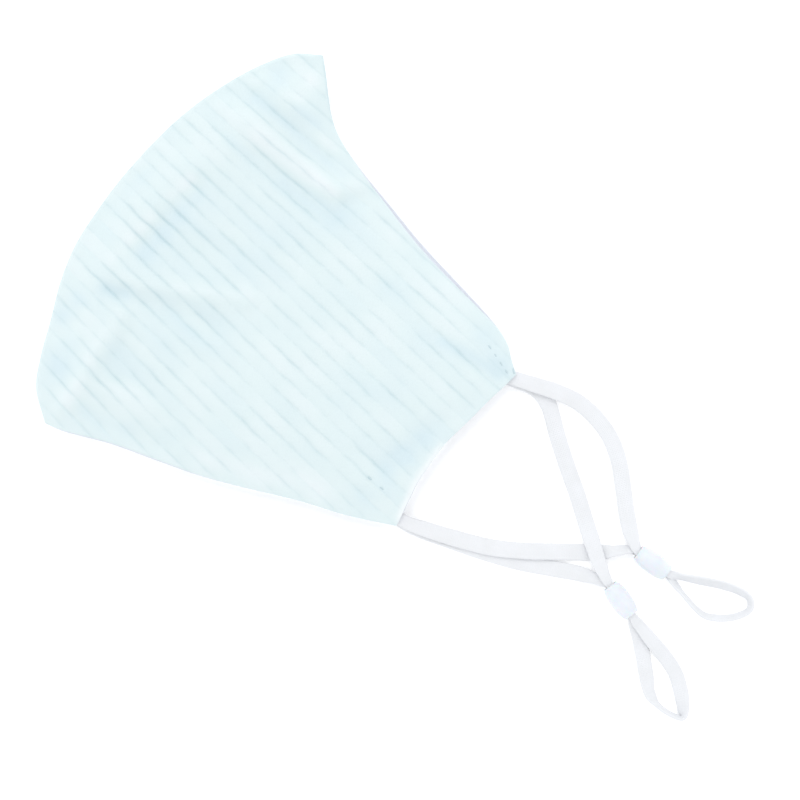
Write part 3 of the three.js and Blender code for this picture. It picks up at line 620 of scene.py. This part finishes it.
def rib_lines(shares):
    """The grid's rows, given across one rib as shares of the pitch."""
    count = math.ceil(MASK_HEIGHT / 2 / RIB_PITCH)
    grooves = RIB_PHASE + RIB_PITCH * np.arange(-count, count + 1)
    lines = (grooves[:, None] + RIB_PITCH * np.array(shares)).ravel()
    nose = rib_line(seam_x(height_at(1)), height_at(1)) - TIP_ROWS
    chin = rib_line(seam_x(height_at(0)), height_at(0)) + TIP_ROWS
    return np.unique(np.concatenate([lines, nose, chin]))


def line_front(lines, start):
    """Where each rib line meets the front seam, or the line at a distance behind it."""
    x = seam_x(lines)
    for _ in range(8):
        y = spread_y(lines, x)
        x = seam_x(y) + start * seam_slant(y)
    return x


def line_end(lines, front, side, inset, corners):
    """Where each rib line runs out of the half."""
    reach = depth_at(1) + MM - front
    x = front[:, None] + reach[:, None] * np.linspace(0.001, 1, SEARCH_STEPS)
    margin = edge_margin(x, spread_y(lines[:, None], x), side, inset, corners)
    out = margin < 0
    first = np.maximum(np.argmax(out, axis=1), 1)
    row = np.arange(len(lines))
    inner, outer = margin[row, first - 1], margin[row, first]
    share = inner / (inner - outer)
    end = x[row, first - 1] + share * (x[row, first] - x[row, first - 1])
    return np.where(out[:, 0], front, end)


def end_slant(lines, end):
    """How much longer a step along each line is than one square to the free edge."""
    places = np.stack([end, spread_y(lines, end)], 1)
    tangent = np.gradient(places, axis=0)
    lean = (spread_y(lines, end + MM) - spread_y(lines, end - MM)) / (2 * MM)
    cross = np.abs(tangent[:, 1] - lean * tangent[:, 0])
    sine = cross / np.maximum(np.hypot(tangent[:, 0], tangent[:, 1]), 1e-9)
    return 1 / np.maximum(sine, SHALLOWEST_EDGE)


def rows_of(side, inset, corners, rows, start):
    """The rib lines that cross a half, and where each one starts and ends."""
    lines = rib_lines(rows)
    front = line_front(lines, start)
    y = spread_y(lines, front)
    inside = (y > height_at(0) + inset) & (y < height_at(1) - inset)
    lines, front = lines[inside], front[inside]
    end = line_end(lines, front, side, inset, corners)
    long = end - front > SHORTEST_ROW
    return lines[long], front[long], end[long]


def cloth_grid(side, inset, corners, rows, start, near, pitch, far):
    """The points of a sheet, row by row along the ribs. Returns x, y, the rib line of each
    point and its distance from the sheet's free edges. Columns that fall outside a row lie
    together on its last place before the edge."""
    lines, front, end = rows_of(side, inset, corners, rows, start)
    length = end - front
    slant = seam_slant(spread_y(lines, front))
    near_slant = np.minimum(slant, END_SHARE * length / near[-1])
    near = front[:, None] + np.outer(near_slant, near)
    far_slant = np.minimum(end_slant(lines, end), END_SHARE * length / far[0])
    far = end[:, None] - np.outer(far_slant, far)
    columns = np.arange(depth_at(0), depth_at(1), pitch)[None, :]
    least = LEAST_COLUMN_SHARE * pitch
    between = np.where(columns < near[:, -1:] + least, near[:, -1:], columns)
    between = np.where(between > far[:, :1] - least, far[:, :1], between)
    x = np.hstack([near, between, far])
    s = np.repeat(lines[:, None], x.shape[1], 1)
    y = spread_y(s, x)
    return x, y, s, edge_distance(x, y, end, spread_y(lines, end))


def edge_distance(x, y, edge_x, edge_y):
    """Each point's distance from the line through the rows' ends."""
    start = np.stack([edge_x[:-1], edge_y[:-1]], 1)
    step = np.stack([np.diff(edge_x), np.diff(edge_y)], 1)
    size = np.maximum((step**2).sum(1), 1e-12)
    distance = np.empty_like(x)
    for row in range(len(x)):
        dx = x[row][:, None] - start[:, 0]
        dy = y[row][:, None] - start[:, 1]
        share = np.clip((dx * step[:, 0] + dy * step[:, 1]) / size, 0, 1)
        gap = np.hypot(dx - share * step[:, 0], dy - share * step[:, 1])
        distance[row] = gap.min(1)
    distance[:, -1] = 0
    return distance


def rim_share(distance, radius):
    """The share of a wall's thickness that is left near its rounded rim."""
    share = np.minimum(distance / radius, 1)
    return np.sqrt(1 - (1 - share) ** 2)


# Meshes

def new_object(name, data):
    item = bpy.data.objects.new(name, data)
    bpy.context.scene.collection.objects.link(item)
    return item


def new_piece(name, vertices, faces, material):
    """A smooth mesh object from points and faces."""
    mesh = bpy.data.meshes.new(name)
    mesh.from_pydata(vertices, [], faces)
    mesh.validate()
    mesh.shade_smooth()
    mesh.materials.append(material)
    return new_object(name, mesh)


def set_uv(piece, along, across):
    """A UV map in metres, from two values for each vertex."""
    mesh = piece.data
    corners = np.zeros(len(mesh.loops), int)
    mesh.loops.foreach_get("vertex_index", corners)
    uv = np.stack([along[corners], across[corners]], 1)
    mesh.uv_layers.new(name="UVMap").data.foreach_set("uv", uv.astype(np.float32).ravel())


def set_attribute(piece, name, values):
    layer = piece.data.attributes.new(name, "FLOAT", "POINT")
    layer.data.foreach_set("value", values.astype(np.float32).ravel())


def grid_quads(index):
    """The quads of a grid of vertices, facing up where rows run to +Y and columns to +X."""
    quads = np.stack([index[:-1, :-1], index[:-1, 1:], index[1:, 1:], index[1:, :-1]], -1)
    return quads.reshape(-1, 4)


def wall_quads(edge, lower_edge):
    """The quads between two rows of vertex numbers."""
    return np.stack([edge[:-1], lower_edge[:-1], lower_edge[1:], edge[1:]], -1)


def clean_faces(quads):
    """Faces from quads, without repeated corners: a quad with two places left is dropped."""
    faces = [list(dict.fromkeys(quad)) for quad in quads.tolist()]
    return [face for face in faces if len(face) > 2]


def sheet_piece(name, x, y, top, bottom, material):
    """A closed sheet between two heights over a grid, which meet at its first and last column.
    Returns the piece, and a function that gives each vertex its value of two grids."""
    apart = np.ones(x.shape, bool)
    apart[:, 1:] = np.diff(x, axis=1) > SAME_PLACE
    below = apart.copy()
    below[:, [0, -1]] = False
    upper = np.cumsum(apart).reshape(x.shape) - 1
    lower = apart.sum() + np.cumsum(below).reshape(x.shape) - 1
    lower[:, [0, -1]] = upper[:, [0, -1]]
    both = lambda over, under: np.concatenate([over[apart], under[below]])
    points = np.stack([both(x, x), both(y, y), both(top, bottom)], -1)
    quads = [
        grid_quads(upper), grid_quads(lower)[:, ::-1],
        wall_quads(upper[0], lower[0]), wall_quads(upper[-1][::-1], lower[-1][::-1]),
    ]
    piece = new_piece(name, points, clean_faces(np.concatenate(quads)), material)
    return piece, both


def rib_relief(x, s):
    """The height of the cloth across a rib, and how near its groove each point is."""
    wander = GROOVE_WANDER * soft_noise(x, s, WANDER_SIZE, WANDER_SEED)
    phase = (s + wander - RIB_PHASE) / RIB_PITCH
    phase = phase - np.floor(phase)
    away = np.minimum(phase, 1 - phase) * RIB_PITCH
    crown = RIB_CROWN * (1 - (2 * phase - 1) ** 2)
    line = np.exp(-((away / GROOVE_WIDTH) ** 2))
    flank = np.exp(-((away / GROOVE_FLANK) ** 2))
    return crown, (1 - FLANK_SHARE) * line + FLANK_SHARE * flank


def edge_roll(away, drop):
    """How far a rolled front edge is drawn in towards the seam."""
    return drop * (1 - rim_share(away, EDGE_ROLL))


def edge_shadow_line(x, y, free):
    """A painted shadow line along the nose end of the top edge, where the two halves meet."""
    along = band(depth_share(x), *EDGE_SHADOW_ENDS) * (height_share(y) > EDGE_SHADOW_FROM)
    return EDGE_SHADOW_STRENGTH * along * np.exp(-((free / EDGE_SHADOW_WIDTH) ** 2))


def ear_edge_light_strip(x, y):
    """Where the ear edge of the upper half is painted pale: a strip of painted light that stands in
    for the lit lining edge past it.
    """
    away = ear_x(y, LEFT) - x
    near = 1 - smoothstep(away, EAR_LIGHT_STRIP - EAR_LIGHT_BLUR, EAR_LIGHT_STRIP + EAR_LIGHT_BLUR)
    return band(height_share(y), *EAR_LIGHT_ENDS) * near


def finish_cloth(piece, both, x, y, s, groove, shade_and_tone, inside):
    """The cloth's UV map and the four values that its material reads."""
    set_uv(piece, both(x, x), both(s, s))
    # The painted pale strip at the ear edge, the painted shade of the grooves and the edge line, and
    # the painted shade and highlight strokes with each rib's tone
    for name, values in (("ear_edge_light", ear_edge_light_strip(x, y)), ("groove", groove), ("shade_and_tone", shade_and_tone)):
        set_attribute(piece, name, both(values, values))
    plain, marked = np.zeros_like(x), np.ones_like(x)
    marks = both(plain, marked) if inside == "bottom" else both(marked, plain)
    set_attribute(piece, "inside", marks)


def outer_grid(side):
    """The grid of a half's outer cloth, and each point's distance behind the seam."""
    x, y, s, free = cloth_grid(side, 0, None, RIB_ROWS, 0, FRONT_COLUMNS, COLUMN_PITCH, FREE_COLUMNS)
    away = behind_seam(x, y)
    away[:, 0] = 0
    return x, y, s, free, away


def outer_sheet(name, x, y, free, top, bottom, material):
    """A half's outer cloth between two heights, with its free edges rounded."""
    middle = (top + bottom) / 2
    half = (top - bottom) / 2 * rim_share(free, RIM_RADIUS)
    return sheet_piece(name, x, y, middle + half, middle - half, material)


def left_panel(material):
    """The upper half: arched over the hollow, with its folds, dents and ribs."""
    x, y, s, free, away = outer_grid(LEFT)
    underside = upper_underside(x, y)
    crown, near_groove = rib_relief(x, s)
    groove = near_groove * groove_strength(x, y, s, LEFT_GROOVE_SEED)
    edge = np.minimum(smoothstep(away, 0, 4 * MM), smoothstep(free, 0, 3 * MM))
    wrinkles = sum(height * soft_noise(x, y, size, seed) for size, height, seed in WRINKLES)
    depth = GROOVE_DEPTH * (EDGE_GROOVE + (1 - EDGE_GROOVE) * edge)
    relief = crown - depth * groove + wrinkles * edge
    fall = SEAM_STACK - SEAM_MIDDLE - SEAM_GAP
    roll = relief * smoothstep(away, 0, EDGE_ROLL) - edge_roll(away, fall + CLOTH_WALL)
    top = underside + CLOTH_WALL + roll
    bottom = underside - fall * np.maximum(0, 1 - away / EDGE_ROLL)
    piece, both = outer_sheet("left_panel_cloth", x, y, free, top, bottom, material)
    # Painted shadow along the nose end of the top edge, with the grooves' painted shade
    groove_and_edge_shade = np.maximum(groove, edge_shadow_line(x, y, free))
    # Painted shade in the dents and painted highlight on the ridges, with each rib's random tone
    shade_and_tone = painted_shade_and_rib_tone(x, y, s, LEFT_TONE_SEED)
    finish_cloth(piece, both, x, y, s, groove_and_edge_shade, shade_and_tone, "bottom")
    return piece


def right_panel(material):
    """The lower half, which lies flat with its ribs on the surface."""
    x, y, s, free, away = outer_grid(RIGHT)
    crown, near_groove = rib_relief(x, s)
    groove = near_groove * groove_strength(x, y, s, RIGHT_GROOVE_SEED)
    rise = SEAM_MIDDLE - SEAM_GAP
    relief = GROOVE_DEPTH * groove + RIB_CROWN - crown
    bottom = relief * smoothstep(away, 0, EDGE_ROLL) + edge_roll(away, rise)
    top = CLOTH_WALL + (rise - CLOTH_WALL) * np.maximum(0, 1 - away / EDGE_ROLL)
    piece, both = outer_sheet("right_panel_cloth", x, y, free, top, bottom, material)
    finish_cloth(piece, both, x, y, s, groove, np.zeros_like(x), "top")
    return piece


def lining(name, side, material):
    """The inner cloth of one half, which follows its outer cloth."""
    radius = LINING_WALL / 2
    ends = [share * radius for share in LINING_RIM]
    x, y, s, free = cloth_grid(
        side, HEM_WIDTH, LINING_CORNERS, LINING_ROWS, LINING_START,
        ends[::-1], LINING_COLUMN_PITCH, ends,
    )
    front = (x - x[:, :1]) / seam_slant(y)
    if side == LEFT:
        top = upper_underside(x, y) - LINING_GAP
    else:
        top = np.full_like(x, CLOTH_WALL + LINING_GAP + LINING_WALL)
    half = radius * rim_share(np.minimum(free, front), radius)
    top_rim = top - radius + half
    piece, both = sheet_piece(name, x, y, top_rim, top_rim - 2 * half, material)
    set_uv(piece, both(x, x), both(s, s))
    return piece


# Ear loops

def catmull_rom(points, at):
    """A place on a smooth curve through the points, in spans from its start."""
    last = len(points) - 1
    index = np.minimum(at.astype(int), last - 1)
    u = (at - index)[:, None]
    p1, p2 = points[index], points[index + 1]
    p0 = np.where(index[:, None] > 0, points[np.maximum(index - 1, 0)], 2 * p1 - p2)
    p3 = np.where(index[:, None] < last - 1, points[np.minimum(index + 2, last)], 2 * p2 - p1)
    bend = 2 * p0 - 5 * p1 + 4 * p2 - p3
    twist = 3 * p1 - p0 - 3 * p2 + p3
    return p1 + 0.5 * u * (p2 - p0 + u * (bend + u * twist))


def unit(directions):
    return directions / np.linalg.norm(directions, axis=1, keepdims=True)


def strap_frames(route):
    """The strap's middle, its directions across and through, and its half width."""
    table = np.array(route)
    at = np.linspace(0, len(route) - 1, (len(route) - 1) * ROUTE_STEPS + 1)
    index = np.minimum(at.astype(int), len(route) - 2)
    share = smoothstep(at - index, 0, 1)
    mix = lambda column: table[index, column] * (1 - share) + table[index + 1, column] * share
    roll = np.radians(mix(3))
    half_width = mix(4) * STRAP_WIDTH / 2
    middle = catmull_rom(table[:, :3], at)
    half_height = half_width * np.sin(roll) + STRAP_WALL / 2 * np.cos(roll)
    middle[:, 2] = np.maximum(middle[:, 2], STRAP_FLOOR_GAP) + half_height
    tangent = unit(np.gradient(middle, axis=0))
    level = unit(np.cross((0, 0, 1), tangent))
    up = np.cross(tangent, level)
    across = level * np.cos(roll)[:, None] + up * np.sin(roll)[:, None]
    return middle, across, np.cross(tangent, across), half_width


def strap_section():
    """The elastic's section: flat, with round edges and shallow ribs along it."""
    turn = np.linspace(0, math.tau, STRAP_SIDES, endpoint=False)
    across = np.sign(np.cos(turn)) * np.abs(np.cos(turn)) ** STRAP_EDGE
    face = np.sign(np.sin(turn)) * np.abs(np.sin(turn)) ** STRAP_FACE
    face *= 1 + STRAP_RIB_DEPTH * np.cos(across * STRAP_RIBS * math.pi)
    return across, face / (1 + STRAP_RIB_DEPTH)


def ear_loop(name, route, material):
    """A flat elastic, laid along its route from one ear corner to the other."""
    middle, across, through, half_width = strap_frames(route)
    side, face = strap_section()
    sideways = side[None, :, None] * half_width[:, None, None]
    points = middle[:, None, :] + across[:, None, :] * sideways
    points = points + through[:, None, :] * (face[None, :, None] * STRAP_WALL / 2)
    rings, sides = len(middle), len(side)
    index = np.arange(rings * sides).reshape(rings, sides)
    index = np.hstack([index, index[:, :1]])
    faces = grid_quads(index).tolist()
    faces.append(index[0, :-1][::-1].tolist())
    faces.append(index[-1, :-1].tolist())
    piece = new_piece(name, points.reshape(-1, 3), faces, material)
    steps = np.linalg.norm(np.diff(middle, axis=0), axis=1)
    along = np.concatenate([[0], np.cumsum(steps)])
    set_uv(piece, np.repeat(along, sides), np.tile(side * STRAP_WIDTH / 2, rings))
    return piece, middle, along[-1]


# Toggles

def toggle_profile():
    """A closed line round the bead's wall: places along the bore, and their radii."""
    swell = np.linspace(-1, 1, TOGGLE_RINGS)
    outside = TOGGLE_RADIUS - (TOGGLE_RADIUS - TOGGLE_END_RADIUS) * np.abs(swell) ** TOGGLE_SWELL
    bore = np.linspace(1, -1, BORE_RINGS)
    inside = np.full_like(bore, TOGGLE_BORE)
    lip = np.linspace(0, math.pi, LIP_RINGS)[1:-1]
    lip_middle = (TOGGLE_END_RADIUS + TOGGLE_BORE) / 2
    lip_radius = (TOGGLE_END_RADIUS - TOGGLE_BORE) / 2
    over = TOGGLE_LENGTH / 2 - TOGGLE_LIP + TOGGLE_LIP * np.sin(lip)
    round_off = lip_middle + lip_radius * np.cos(lip)
    inner_end = TOGGLE_LENGTH / 2 - TOGGLE_LIP
    along = np.concatenate([swell * inner_end, over, bore * inner_end, -over[::-1]])
    return along, np.concatenate([outside, round_off, inside, round_off[::-1]])


def toggle(name, material):
    """An oval bead with a bore along it, which grips both strands of an ear loop."""
    x, y, turn = TOGGLES[name]
    along, radius = toggle_profile()
    angles = np.linspace(0, math.tau, TOGGLE_SIDES, endpoint=False)
    points = np.empty((len(along), TOGGLE_SIDES, 3))
    points[..., 0] = along[:, None]
    points[..., 1] = radius[:, None] * np.cos(angles)
    points[..., 2] = radius[:, None] * np.sin(angles)
    index = np.arange(len(along) * TOGGLE_SIDES).reshape(len(along), TOGGLE_SIDES)
    index = np.vstack([index, index[:1]])
    index = np.hstack([index, index[:, :1]])
    cosine, sine = math.cos(math.radians(turn)), math.sin(math.radians(turn))
    placed = points.reshape(-1, 3) @ np.array([[cosine, sine, 0], [-sine, cosine, 0], [0, 0, 1]])
    placed += (x, y, TOGGLE_RADIUS)
    return new_piece(name + "_bead", placed, grid_quads(index)[:, ::-1].tolist(), material)


# Node trees

class NodeTree:
    """A small helper that adds nodes to a tree and joins them."""

    def __init__(self, tree):
        self.tree = tree

    def add(self, kind, settings=(), **inputs):
        node = self.tree.nodes.new(kind)
        for key, value in dict(settings).items():
            setattr(node, key, value)
        self.fill(node, inputs)
        return node

    def out(self, kind, settings=(), **inputs):
        """The first output of a new node."""
        return self.add(kind, settings, **inputs).outputs[0]

    def fill(self, node, inputs):
        for key, value in inputs.items():
            self.put(node.inputs[key.replace("_", " ")], value)

    def put(self, socket, value):
        if isinstance(value, bpy.types.NodeSocket):
            self.tree.links.new(value, socket)
        else:
            socket.default_value = value


# Stitches

def stitch_sockets(group):
    kinds = {"Lines": "Geometry", "Pitch": "Float", "Size": "Vector", "Seed": "Int"}
    for name, kind in kinds.items():
        group.interface.new_socket(name, in_out="INPUT", socket_type="NodeSocket" + kind)
    group.interface.new_socket("Stitches", in_out="OUTPUT", socket_type="NodeSocketGeometry")


def stitch_group(material):
    """A node group that lays small stitches of thread at a pitch along lines."""
    group = bpy.data.node_groups.new("stitches", "GeometryNodeTree")
    stitch_sockets(group)
    tree = NodeTree(group)
    given = tree.add("NodeGroupInput").outputs
    curve = tree.out("GeometryNodeMeshToCurve", Mesh=given["Lines"])
    by_length = {"mode": "LENGTH"}
    places = tree.out("GeometryNodeResampleCurve", by_length, Curve=curve, Length=given["Pitch"])
    ball = tree.out("GeometryNodeMeshUVSphere", Segments=12, Rings=8, Radius=0.5)
    stitch = tree.out("GeometryNodeTransform", Geometry=ball, Scale=given["Size"])
    tangent = tree.out("GeometryNodeInputTangent")
    along = tree.out("FunctionNodeAlignRotationToVector", {"axis": "X"}, Vector=tangent)
    uneven = tree.out(
        "FunctionNodeRandomValue", {"data_type": "FLOAT_VECTOR"},
        Min=STITCH_LEAST, Max=STITCH_MOST, Seed=given["Seed"],
    )
    laid = tree.out(
        "GeometryNodeInstanceOnPoints",
        Points=places, Instance=stitch, Rotation=along, Scale=uneven,
    )
    real = tree.out("GeometryNodeRealizeInstances", Geometry=laid)
    sewn = tree.out("GeometryNodeSetMaterial", Geometry=real, Material=material)
    tree.add("NodeGroupOutput", Stitches=sewn)
    return group


def stitch_lines():
    """The stitches' lines on the upper half: points, and edges between them."""
    points, edges = [], []
    for _, start, end in STITCH_ROWS:
        for share in (0, 0.5, 1):
            x = depth_at(start[0] + share * (end[0] - start[0]))
            y = height_at(start[1] + share * (end[1] - start[1]))
            points.append((x, y, float(upper_underside(x, y)) + CLOTH_WALL + STITCH_LIFT))
        edges += [(len(points) - 3, len(points) - 2), (len(points) - 2, len(points) - 1)]
    return points, edges


def stitches(material):
    """The rows of stitches, as one mesh."""
    mesh = bpy.data.meshes.new("stitch_lines")
    mesh.from_pydata(*stitch_lines(), [])
    piece = new_object("ear_corner_stitches", mesh)
    sewing = piece.modifiers.new("stitches", "NODES")
    sewing.node_group = stitch_group(material)
    size = (STITCH_LENGTH, STITCH_WIDTH, STITCH_WIDTH)
    values = {"Pitch": STITCH_PITCH, "Size": size, "Seed": STITCH_SEED}
    for socket in sewing.node_group.interface.items_tree:
        if socket.name in values:
            sewing[socket.identifier] = values[socket.name]
    evaluated = piece.evaluated_get(bpy.context.evaluated_depsgraph_get())
    sewn = bpy.data.meshes.new_from_object(evaluated)
    piece.modifiers.remove(sewing)
    piece.data = sewn
    sewn.shade_smooth()
    return piece


# Materials

class Shader(NodeTree):
    """A material with its nodes."""

    def __init__(self, name):
        self.name = name
        self.material = bpy.data.materials.new(name)
        self.material.use_nodes = True
        super().__init__(self.material.node_tree)
        self.principled = self.tree.nodes["Principled BSDF"]

    def numbered(self, kind, settings, start, *values):
        """A node whose inputs are set by number, from start on."""
        node = self.add(kind, settings)
        for offset, value in enumerate(values):
            self.put(node.inputs[start + offset], value)
        return node

    def math(self, operation, *values):
        return self.numbered("ShaderNodeMath", {"operation": operation}, 0, *values).outputs[0]

    def mix(self, share, first, second):
        node = self.numbered("ShaderNodeMix", {"data_type": "RGBA"}, 6, first, second)
        self.put(node.inputs[0], share)
        return node.outputs[2]

    def attribute(self, name):
        return self.add("ShaderNodeAttribute", {"attribute_name": name}).outputs["Fac"]

    def uv(self):
        place = self.out("ShaderNodeUVMap", {"uv_map": "UVMap"})
        split = self.add("ShaderNodeSeparateXYZ", Vector=place)
        return split.outputs[0], split.outputs[1]

    def noise(self, size, detail=2.0):
        place = self.add("ShaderNodeTexCoord").outputs["Object"]
        return self.out("ShaderNodeTexNoise", Vector=place, Scale=1 / size, Detail=detail)

    def range(self, value, low, high):
        return self.out("ShaderNodeMapRange", Value=value, From_Min=low, From_Max=high)

    def blotches(self, size, detail, low, first, second):
        """Two colours in soft blotches."""
        return self.mix(self.range(self.noise(size, detail), low, 1 - low), first, second)

    def knit(self, stitch, wale):
        """Rows of small slanted stitches: a chevron for each wale along the cloth."""
        along, across = self.uv()
        lane = self.math("PINGPONG", self.math("DIVIDE", across, wale), 0.5)
        slanted = self.math("ADD", self.math("DIVIDE", along, stitch), lane)
        yarn = self.math("SINE", self.math("MULTIPLY", slanted, math.tau))
        crown = self.math("SINE", self.math("MULTIPLY", lane, math.tau))
        return self.math("ADD", self.math("MULTIPLY", yarn, 0.5), crown)

    def bump(self, height, distance, strength, normal=None):
        node = self.add("ShaderNodeBump", Height=height, Distance=distance, Strength=strength)
        if normal is not None:
            self.put(node.inputs["Normal"], normal)
        return node.outputs[0]

    def finish(self, colour, normal, roughness, **settings):
        named = {"Base Color": colour, "Normal": normal, "Roughness": roughness}
        self.fill(self.principled, {**named, **settings})
        return self.material


# Colours, linear, from sRGB shades of 0 to 255
def shade(red, green, blue):
    linear = [((v / 255 + 0.055) / 1.055) ** 2.4 for v in (red, green, blue)]
    return (*linear, 1.0)


ICE_BLUE = shade(224, 236, 237)
ICE_BLUE_DEEP = shade(222, 235, 236)
# Painted shade in the dents and painted highlight on the ridges, which also carry each rib's random
# tone
PAINTED_SHADE_AND_TONE_BLUE = shade(214, 230, 235)
PAINTED_HIGHLIGHT_AND_TONE_BLUE = shade(235, 241, 243)
# Painted shade in the grooves between the ribs
GROOVE_SHADE_BLUE = shade(182, 207, 213)
# A pale strip painted along the ear edge, standing in for the lit lining edge: partly its own
# colour, partly painted light
EAR_EDGE_LIGHT_WHITE = shade(238, 243, 244)
LAVENDER_WHITE = shade(233, 236, 243)
LAVENDER_DEEP = shade(227, 230, 240)
ELASTIC_WHITE = shade(236, 237, 240)
ELASTIC_GREY = shade(231, 232, 234)
BEAD_WHITE = shade(234, 237, 241)
BEAD_DEEP = shade(227, 231, 238)
THREAD = shade(200, 216, 220)
THREAD_DEEP = shade(193, 211, 216)
GROOVE_SHADE = 0.42

# Knitted materials: a stitch's length, a wale's width, their depth and strength; the fuzz's
# size, depth and strength; the roughness, the sheen's weight and roughness, and the gloss
KNITS = {
    "ribbed_cloth": (
        (0.62 * MM, 0.58 * MM, 0.06 * MM, 0.45), (0.25 * MM, 0.05 * MM, 0.3),
        (0.86, 0.25, 0.45, 0.3),
    ),
    "lining_cloth": (
        (0.5 * MM, 0.45 * MM, 0.05 * MM, 0.5), (0.2 * MM, 0.04 * MM, 0.3),
        (0.92, 0.2, 0.5, 0.25),
    ),
    "elastic": (
        (0.8 * MM, 1.04 * MM, 0.07 * MM, 0.5), (0.2 * MM, 0.04 * MM, 0.25),
        (0.8, 0.2, 0.4, 0.35),
    ),
}


def knitted(shader, colour):
    """The shader's material in a colour, with the knit, fuzz and sheen of its own name."""
    (stitch, wale, *knit), (size, *fuzz), finish = KNITS[shader.name]
    roughness, sheen, spread, gloss = finish
    rows = shader.bump(shader.knit(stitch, wale), *knit)
    fibres = shader.bump(shader.noise(size), *fuzz, rows)
    return shader.finish(
        colour, fibres, roughness,
        Sheen_Weight=sheen, Sheen_Roughness=spread, Specular_IOR_Level=gloss,
    )


def ribbed_cloth():
    shader = Shader("ribbed_cloth")
    colour = shader.blotches(14 * MM, 3.0, 0.35, ICE_BLUE, ICE_BLUE_DEEP)
    # Painted shade and painted highlight strokes, with each rib's random tone
    shade_and_tone = shader.attribute("shade_and_tone")
    colour = shader.mix(shader.range(shade_and_tone, 0, 1), colour, PAINTED_SHADE_AND_TONE_BLUE)
    colour = shader.mix(shader.range(shade_and_tone, 0, -1), colour, PAINTED_HIGHLIGHT_AND_TONE_BLUE)
    # Painted shade in the grooves, and painted shadow along the nose end of the top edge
    groove = shader.math("MULTIPLY", shader.attribute("groove"), GROOVE_SHADE)
    colour = shader.mix(shader.math("MINIMUM", groove, 1.0), colour, GROOVE_SHADE_BLUE)
    # The painted pale strip along the ear edge, partly painted light
    colour = shader.mix(shader.attribute("ear_edge_light"), colour, EAR_EDGE_LIGHT_WHITE)
    return knitted(shader, shader.mix(shader.attribute("inside"), colour, LAVENDER_WHITE))


def lining_cloth():
    shader = Shader("lining_cloth")
    return knitted(shader, shader.blotches(11 * MM, 3.0, 0.35, LAVENDER_WHITE, LAVENDER_DEEP))


def elastic():
    shader = Shader("elastic")
    return knitted(shader, shader.blotches(7 * MM, 2.0, 0.25, ELASTIC_WHITE, ELASTIC_GREY))


def toggle_plastic():
    shader = Shader("toggle_plastic")
    colour = shader.blotches(4 * MM, 2.0, 0.3, BEAD_WHITE, BEAD_DEEP)
    grain = shader.bump(shader.noise(0.35 * MM), 0.02 * MM, 0.3)
    return shader.finish(
        colour, grain, 0.42, Subsurface_Weight=0.25, Subsurface_Scale=0.002,
        Specular_IOR_Level=0.45,
    )


def thread():
    shader = Shader("thread")
    colour = shader.mix(shader.noise(0.8 * MM), THREAD, THREAD_DEEP)
    twist = shader.bump(shader.noise(0.12 * MM), 0.03 * MM, 0.5)
    return shader.finish(colour, twist, 0.7, Specular_IOR_Level=0.3)


# Stage, light and camera

def camera():
    lens = bpy.data.cameras.new("camera")
    lens.sensor_width = CAMERA_SENSOR
    lens.lens = CAMERA_SENSOR * CAMERA_DISTANCE / VIEW_WIDTH
    eye = new_object("camera", lens)
    eye.location = (*VIEW_CENTRE, VIEW_HEIGHT + CAMERA_DISTANCE)
    eye.rotation_euler = (0, 0, math.radians(VIEW_TURN))
    bpy.context.scene.camera = eye


def floor():
    turns = ((-1, -1), (1, -1), (1, 1), (-1, 1))
    corners = [(FLOOR_HALF * x, FLOOR_HALF * y, 0) for x, y in turns]
    shader = Shader("floor")
    grain = shader.bump(shader.noise(2 * MM), 0.01 * MM, 0.05)
    shader.finish(
        FLOOR_WHITE, grain, 0.9, Emission_Color=FLOOR_WHITE, Emission_Strength=FLOOR_GLOW
    )
    piece = new_piece("floor", corners, [(0, 1, 2, 3)], shader.material)


def key_light():
    """A broad, soft light from above and one side."""
    lamp = bpy.data.lights.new("key", "SUN")
    lamp.angle = math.radians(KEY_ANGLE)
    lamp.energy = KEY_STRENGTH
    light = new_object("key", lamp)
    light.location = KEY_FROM
    light.rotation_euler = (-light.location).to_track_quat("-Z", "Y").to_euler()


def lights():
    world = bpy.data.worlds.new("studio")
    world.use_nodes = True
    background = world.node_tree.nodes["Background"]
    background.inputs["Color"].default_value = SKY_COLOUR
    background.inputs["Strength"].default_value = SKY_STRENGTH
    bpy.context.scene.world = world
    key_light()
    bpy.context.scene.view_settings.view_transform = "Standard"


# The mask

def settle(piece, node):
    """The piece rides on the mask's one body and stands in for a CAD node."""
    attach(piece, "root")
    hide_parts(node)


camera()
lights()
floor()

cloth = ribbed_cloth()
inner_cloth = lining_cloth()
strap = elastic()
plastic = toggle_plastic()
sewing_thread = thread()

beads = {name: toggle(name, plastic) for name in TOGGLES}
routes = {"left": LEFT_LOOP_ROUTE, "right": RIGHT_LOOP_ROUTE}
loops = {
    side: ear_loop(f"{side}_ear_loop_elastic", route, strap) for side, route in routes.items()
}
panels = {"left": left_panel(cloth), "right": right_panel(cloth)}
linings = {
    "left": lining("left_lining_cloth", LEFT, inner_cloth),
    "right": lining("right_lining_cloth", RIGHT, inner_cloth),
}
seam_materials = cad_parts["front_seam"].data.materials
seam_materials.clear()
seam_materials.append(cloth)
corner_stitches = stitches(sewing_thread)
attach(corner_stitches, "root")

for side in ("left", "right"):
    bead, (loop, middle, length) = beads[f"{side}_toggle"], loops[side]
    panel, inner = panels[side], linings[side]
    settle(bead, f"{side}_toggle")
    settle(loop, f"{side}_ear_loop")
    settle(panel, f"{side}_panel")
    settle(inner, f"{side}_lining")
